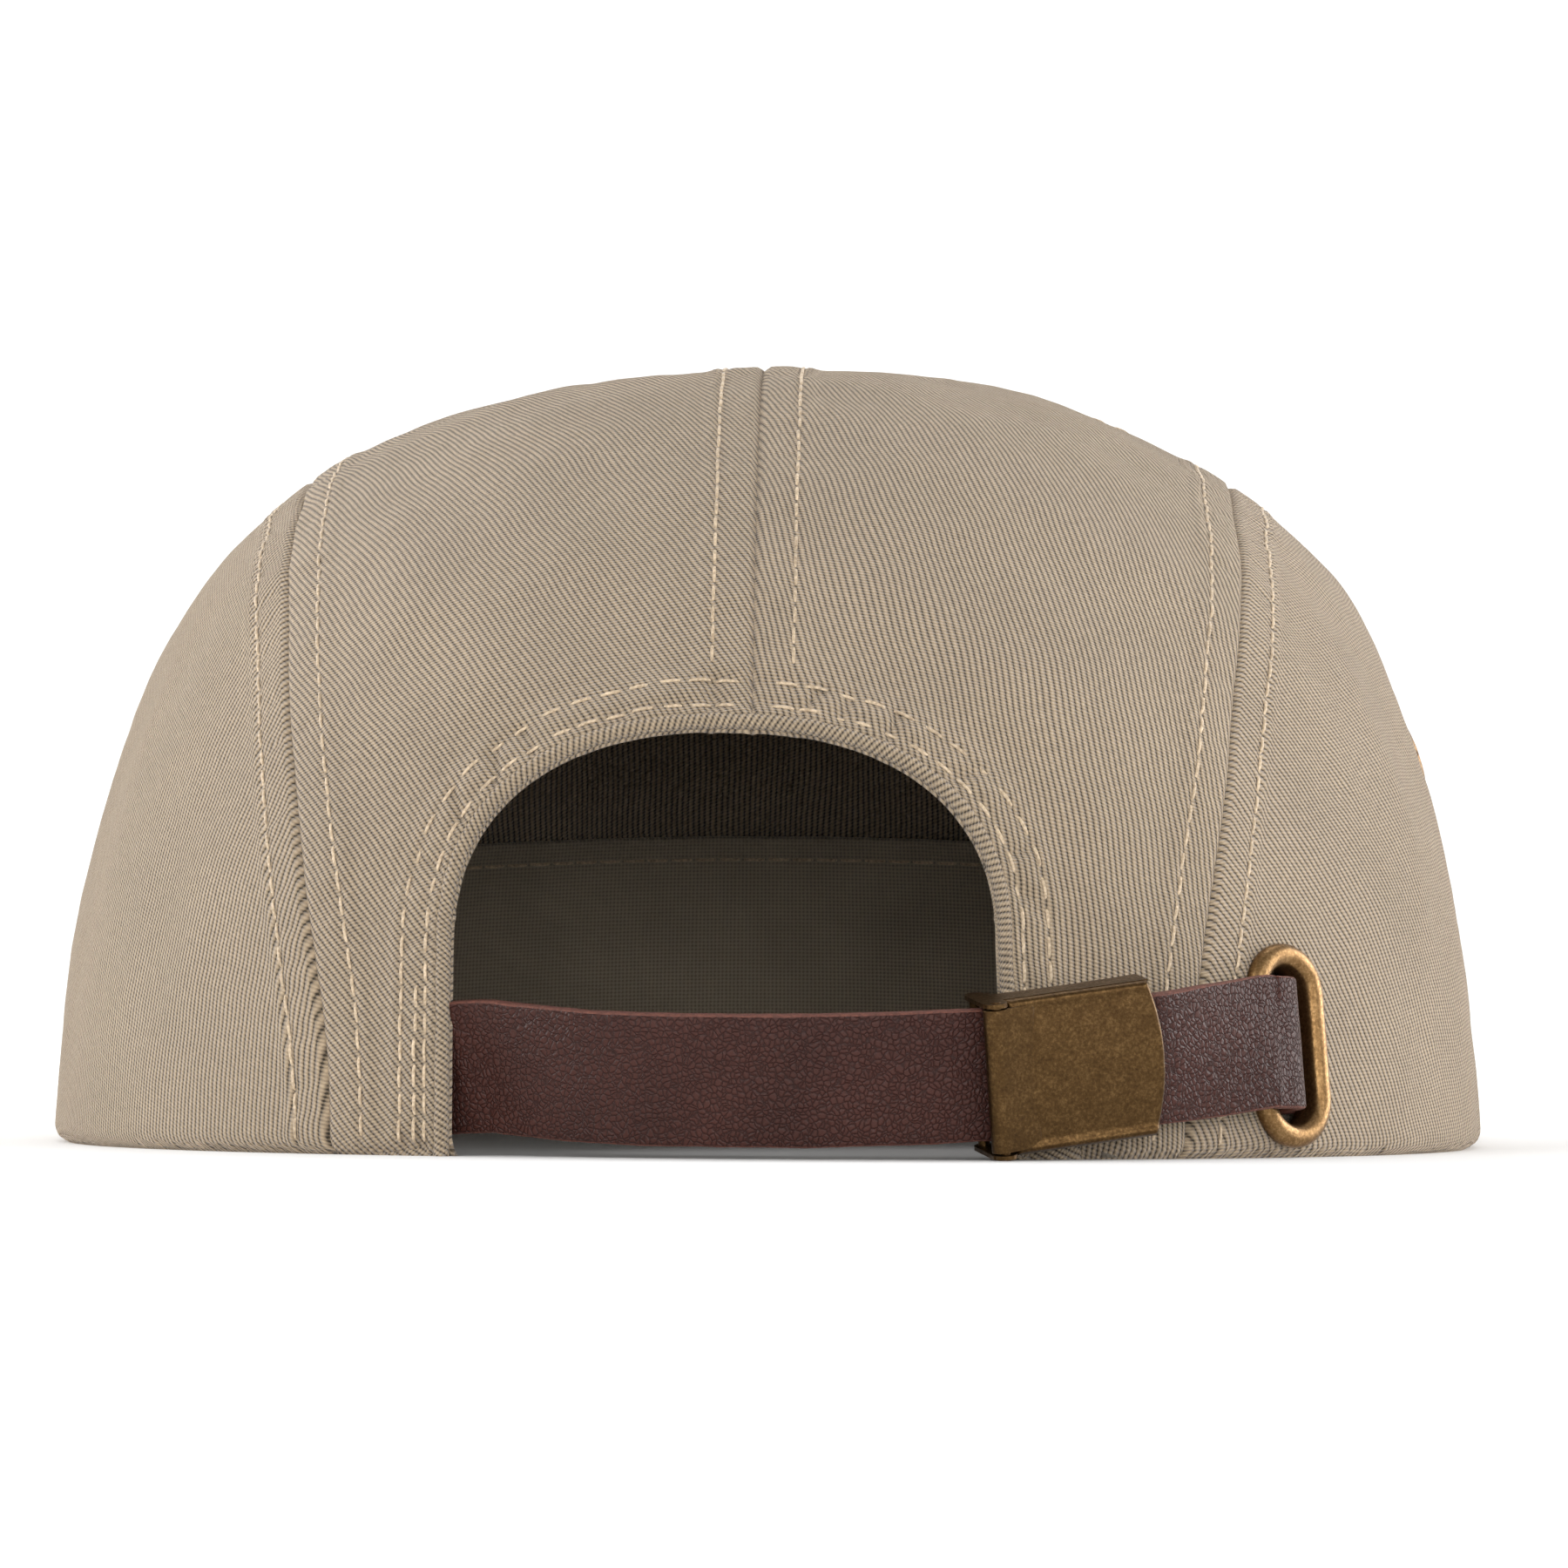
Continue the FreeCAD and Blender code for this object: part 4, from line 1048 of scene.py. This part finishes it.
class Look:
    """A node material, with short ways to add and join nodes."""

    def __init__(self, name):
        self.material = bpy.data.materials.new(name)
        self.material.use_nodes = True
        self.tree = self.material.node_tree
        self.shader = self.tree.nodes["Principled BSDF"]

    def add(self, kind, inputs=None, **settings):
        node = self.tree.nodes.new("ShaderNode" + kind)
        for key, value in settings.items():
            setattr(node, key, value)
        for key, value in (inputs or {}).items():
            self.put(node.inputs[key], value)
        return node

    def put(self, socket, value):
        if isinstance(value, bpy.types.NodeSocket):
            self.tree.links.new(value, socket)
        else:
            socket.default_value = value

    def finish(self, **inputs):
        for key, value in inputs.items():
            self.put(self.shader.inputs[key.replace("_", " ")], value)
        return self.material

    def math(self, operation, a, b=0.0, c=0.0):
        return self.add("Math", {0: a, 1: b, 2: c}, operation=operation).outputs[0]

    def noise(self, where, scale, detail=2.0, roughness=0.5):
        node = self.add("TexNoise", {"Vector": where, "Scale": scale, "Detail": detail, "Roughness": roughness})
        return node.outputs["Fac"]

    def ramp(self, factor, stops):
        node = self.add("ValToRGB", {"Fac": factor})
        points = node.color_ramp.elements
        while len(points) < len(stops):
            points.new(0.5)
        for point, (place, colour) in zip(points, stops):
            point.position = place
            point.color = (*colour, 1) if len(colour) == 3 else colour
        return node.outputs["Color"]

    def bands(self, where, turn, spacing, distort=0.0):
        """Ridges across a direction, at a spacing in the units of where."""
        turned = self.add("Mapping", {"Vector": where, "Rotation": (0, 0, math.radians(turn))}).outputs[0]
        wave = self.add("TexWave", {"Vector": turned, "Scale": math.pi / 10 / spacing, "Distortion": distort,
                                    "Detail": 2.0, "Detail Scale": 1.2}, wave_type="BANDS", bands_direction="X")
        return wave.outputs["Fac"]

    def bump(self, height, distance, strength=1.0):
        node = self.add("Bump", {"Height": height, "Distance": distance, "Strength": strength})
        return node.outputs["Normal"]

    def tint(self, colour, factor, low, high):
        """The colour times a grey that runs from low to high with the factor."""
        grey = self.add("MapRange", {"Value": factor, "From Min": 0.25, "From Max": 0.75,
                                     "To Min": low, "To Max": high}).outputs[0]
        node = self.add("VectorMath", {0: colour, "Scale": grey}, operation="SCALE")
        return node.outputs[0]


THREAD_TURN = 68  # from a ridge to the threads that cross it, in degrees
# The lowest khaki is painted shade for the weave's valleys; the top khaki is painted light on its ridges.
KHAKI_PAINTED_LIGHT_TOP, KHAKI_MIDDLE, KHAKI_PAINTED_SHADE = (0.52, 0.402, 0.27), (0.285, 0.217, 0.143), (0.03, 0.022, 0.013)


def twill(name, grain, spacing):
    """Khaki cotton twill: rope-like ridges lying at the grain angle, each made of short slanting threads."""
    look = Look(name)
    uv = look.add("UVMap", uv_map="weave").outputs["UV"]
    drift = look.add("TexNoise", {"Vector": uv, "Scale": 0.045, "Detail": 1.0}).outputs["Color"]
    moved = look.add("VectorMath", {0: drift, 1: (2.6, 2.6, 0), 2: uv}, operation="MULTIPLY_ADD").outputs[0]
    wale = look.math("POWER", look.bands(moved, 90 - grain, spacing, 0.35), 0.62)
    thread = look.bands(moved, 90 - grain - THREAD_TURN, 0.42, 0.5)
    rope = look.math("MULTIPLY_ADD", thread, 0.32, look.math("MULTIPLY", wale, 0.7))
    fuzz = look.noise(uv, 3.6, 3.0, 0.75)
    slub = look.noise(uv, 0.9, 3.0, 0.65)
    height = look.math("MULTIPLY_ADD", fuzz, 0.62, look.math("ADD", rope, -0.3))
    # The ramp paints near-black shade into the valleys between threads and painted light onto the ridges' tops.
    colour = look.ramp(height, [(0.14, KHAKI_PAINTED_SHADE), (0.48, KHAKI_MIDDLE), (0.98, KHAKI_PAINTED_LIGHT_TOP)])
    colour = look.tint(colour, look.noise(uv, 0.05, 3.0), 0.92, 1.06)
    colour = look.tint(colour, slub, 0.84, 1.12)
    return look.finish(Base_Color=colour, Roughness=0.92, Normal=look.bump(height, 0.00044),
                       Sheen_Weight=0.45, Sheen_Roughness=0.5, Sheen_Tint=(0.95, 0.86, 0.8, 1),
                       Specular_IOR_Level=0.15)


def cotton(name, base):
    """Plain-woven cotton."""
    look = Look(name)
    uv = look.add("UVMap", uv_map="weave").outputs["UV"]
    weft, warp = look.bands(uv, 0, 0.5, 0.4), look.bands(uv, 90, 0.5, 0.4)
    weave = look.math("MULTIPLY_ADD", weft, 0.5, look.math("MULTIPLY", warp, 0.5))
    height = look.math("MULTIPLY_ADD", look.noise(uv, 4.0, 3.0, 0.7), 0.4, weave)
    # The weave's low places between the threads are painted darker as shade.
    low = tuple(0.55 * c for c in base)
    colour = look.ramp(height, [(0.2, low), (0.9, base)])
    colour = look.tint(colour, look.noise(uv, 0.08, 3.0), 0.88, 1.08)
    return look.finish(Base_Color=colour, Roughness=0.93, Normal=look.bump(height, 0.00015),
                       Sheen_Weight=0.3, Specular_IOR_Level=0.2)


def thread_look():
    look = Look("stitching_thread")
    where = look.add("TexCoord").outputs["Object"]
    twist = look.noise(where, 2600.0, 2.0)
    colour = look.ramp(twist, [(0.3, (0.33, 0.24, 0.15)), (0.7, (0.66, 0.52, 0.36))])
    colour = look.tint(colour, look.noise(where, 130.0, 1.0), 0.85, 1.1)
    return look.finish(Base_Color=colour, Roughness=0.6, Normal=look.bump(twist, 0.00006), Sheen_Weight=0.2)


def leather(name):
    """Pebbled dark brown leather, painted darker in its creases as shade and lighter on its pebbles' tops."""
    look = Look(name)
    where = look.add("TexCoord").outputs["Object"]
    bend = look.add("TexNoise", {"Vector": where, "Scale": 500.0, "Detail": 2.0}).outputs["Color"]
    moved = look.add("VectorMath", {0: bend, 1: (0.0012,) * 3, 2: where}, operation="MULTIPLY_ADD").outputs[0]
    cells = look.add("TexVoronoi", {"Vector": moved, "Scale": 1500.0}, feature="DISTANCE_TO_EDGE").outputs[0]
    pebble = look.math("SMOOTH_MIN", cells, 0.2, 0.12)
    fine = look.noise(where, 3200.0, 3.0, 0.6)
    height = look.math("MULTIPLY_ADD", fine, 0.06, pebble)
    # The darkest stop is painted shade in the creases between pebbles.
    colour = look.ramp(height, [(0.0, (0.014, 0.0045, 0.0035)), (0.09, (0.036, 0.012, 0.009)),
                                (0.26, (0.052, 0.0185, 0.014))])
    colour = look.tint(colour, look.noise(where, 70.0, 3.0), 0.8, 1.25)
    gloss = look.add("MapRange", {"Value": fine, "To Min": 0.34, "To Max": 0.52}).outputs[0]
    return look.finish(Base_Color=colour, Roughness=gloss, Normal=look.bump(height, 0.0008, 0.75),
                       Specular_IOR_Level=0.18)


def cut_edge(name):
    """The raw edge of cut leather, redder and fibrous."""
    look = Look(name)
    where = look.add("TexCoord").outputs["Object"]
    fibres = look.noise(where, 1500.0, 4.0, 0.7)
    colour = look.ramp(fibres, [(0.3, (0.06, 0.018, 0.012)), (0.7, (0.17, 0.055, 0.035))])
    return look.finish(Base_Color=colour, Roughness=0.75, Normal=look.bump(fibres, 0.0003))


def brass(name, low, middle, high):
    """Antique brass: a satin brown patina with fine bright specks."""
    look = Look(name)
    where = look.add("TexCoord").outputs["Object"]
    specks = look.noise(where, 2600.0, 3.0, 0.7)
    clouds = look.noise(where, 420.0, 4.0, 0.7)
    mixed = look.math("MULTIPLY_ADD", clouds, 0.32, look.math("MULTIPLY", specks, 0.68))
    colour = look.ramp(mixed, [(0.32, low), (0.5, middle), (0.68, high)])
    gloss = look.add("MapRange", {"Value": mixed, "From Min": 0.35, "From Max": 0.65,
                                  "To Min": 0.44, "To Max": 0.3}).outputs[0]
    return look.finish(Base_Color=colour, Metallic=0.95, Roughness=gloss,
                       Normal=look.bump(specks, 0.00007, 0.5))


def plastic(name):
    """The visor's moulded board: pale, finely grained plastic."""
    look = Look(name)
    where = look.add("TexCoord").outputs["Object"]
    grain = look.noise(where, 900.0, 3.0)
    colour = look.ramp(grain, [(0.3, (0.45, 0.44, 0.42)), (0.7, (0.6, 0.59, 0.57))])
    return look.finish(Base_Color=colour, Roughness=0.5, Normal=look.bump(grain, 0.0001))


TAPE_LOOK = cotton("tape_weave", (0.5, 0.42, 0.31))
BRASS = brass("antique_brass_look", (0.046, 0.024, 0.009), (0.082, 0.045, 0.0165), (0.16, 0.094, 0.038))
EYELET_BRASS = brass("eyelet_brass_look", (0.11, 0.058, 0.021), (0.22, 0.125, 0.05), (0.38, 0.24, 0.11))
THREAD = thread_look()


def make_threads(name, sets, **how):
    points, faces = join(sets)
    piece = make_mesh(name, points, faces, **how)
    piece.data.materials.append(THREAD)


def dress_frame_parts():
    """Finishes for the parts whose shape is kept from the frame."""
    looks = {"buckle_frame": BRASS, "buckle_hinge_pin": BRASS, "strap_eyelet_washer": BRASS,
             "visor_board": plastic("visor_board_look")}
    for name, look in looks.items():
        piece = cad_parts[name]
        piece = bpy.data.objects[piece] if isinstance(piece, str) else piece
        for slot in piece.material_slots:
            slot.material = look
        if not piece.material_slots:
            piece.data.materials.append(look)


# ---------------------------------------------------------------- studio

EYE = (0.0217, -1.389, 0.027)
LENS = 256.0
ROLL = -0.3  # degrees


def add_lamp(name, place, width, power):
    data = bpy.data.lights.new(name, "AREA")
    data.shape, data.size, data.energy = "SQUARE", width, power
    lamp = bpy.data.objects.new(name, data)
    lamp.location = place
    bpy.context.scene.collection.objects.link(lamp)
    return lamp


def make_studio():
    size, rise, turn = 6.0, 3.0, 1.0
    profile = [(-size, 0.0), (1.2, 0.0)]
    profile += [(1.2 + turn * math.sin(a), turn * (1 - math.cos(a))) for a in np.radians(range(6, 91, 6))]
    profile.append((1.2 + turn, rise))
    points = [(x, y, z) for y, z in profile for x in (-size, size)]
    faces = [(2 * i, 2 * i + 1, 2 * i + 3, 2 * i + 2) for i in range(len(profile) - 1)]
    mesh = bpy.data.meshes.new("studio_floor")
    mesh.from_pydata(points, [], faces)
    mesh.polygons.foreach_set("use_smooth", [True] * len(mesh.polygons))
    floor = bpy.data.objects.new("studio_floor", mesh)
    bpy.context.scene.collection.objects.link(floor)
    look = Look("studio_paper")
    mesh.materials.append(look.finish(Base_Color=(0.86, 0.86, 0.86, 1), Roughness=0.9, Specular_IOR_Level=0.1))

    world = bpy.data.worlds.new("soft_white")
    bpy.context.scene.world = world
    world.use_nodes = True
    world.node_tree.nodes["Background"].inputs["Color"].default_value = (1.0, 0.99, 0.97, 1)
    world.node_tree.nodes["Background"].inputs["Strength"].default_value = 0.42
    lamps = (("key", (-0.75, -1.15, 0.7), 0.7, 8.5), ("fill", (0.95, -1.0, 0.4), 0.9, 6.5),
             ("front", (0.1, -1.7, 0.12), 0.8, 13.0), ("rim_left", (-0.9, 0.3, 0.25), 0.7, 11.0),
             ("rim_right", (0.95, 0.3, 0.25), 0.7, 11.0))
    for name, place, width, power in lamps:
        lamp = add_lamp(name, place, width, power)
        lamp.rotation_euler = (Vector((0, 0, 0.04)) - Vector(place)).to_track_quat("-Z", "Y").to_euler()
    add_lamp("backdrop", (0, 0.7, 1.7), 1.6, 26.0).rotation_euler = (math.radians(52), 0, 0)


def make_camera():
    data = bpy.data.cameras.new("camera")
    data.lens, data.sensor_width = LENS, 36.0
    data.shift_x, data.shift_y = 0.0094, 0.0906
    data.clip_start, data.clip_end = 0.05, 50
    camera = bpy.data.objects.new("camera", data)
    camera.location = EYE
    camera.rotation_euler = (math.pi / 2, math.radians(ROLL), math.atan2(EYE[0], -EYE[1]))
    bpy.context.scene.collection.objects.link(camera)
    bpy.context.scene.camera = camera


make_crown()
make_facing()
make_threads("crown_stitching", seam_threads())
make_threads("inside_stitching", make_tapes() + make_sweatband())
make_threads("visor_stitching", make_visor())
make_strap()
make_loop()
make_eyelets()
make_lever()
dress_frame_parts()
make_studio()
make_camera()
bpy.context.scene.view_settings.view_transform = "Standard"
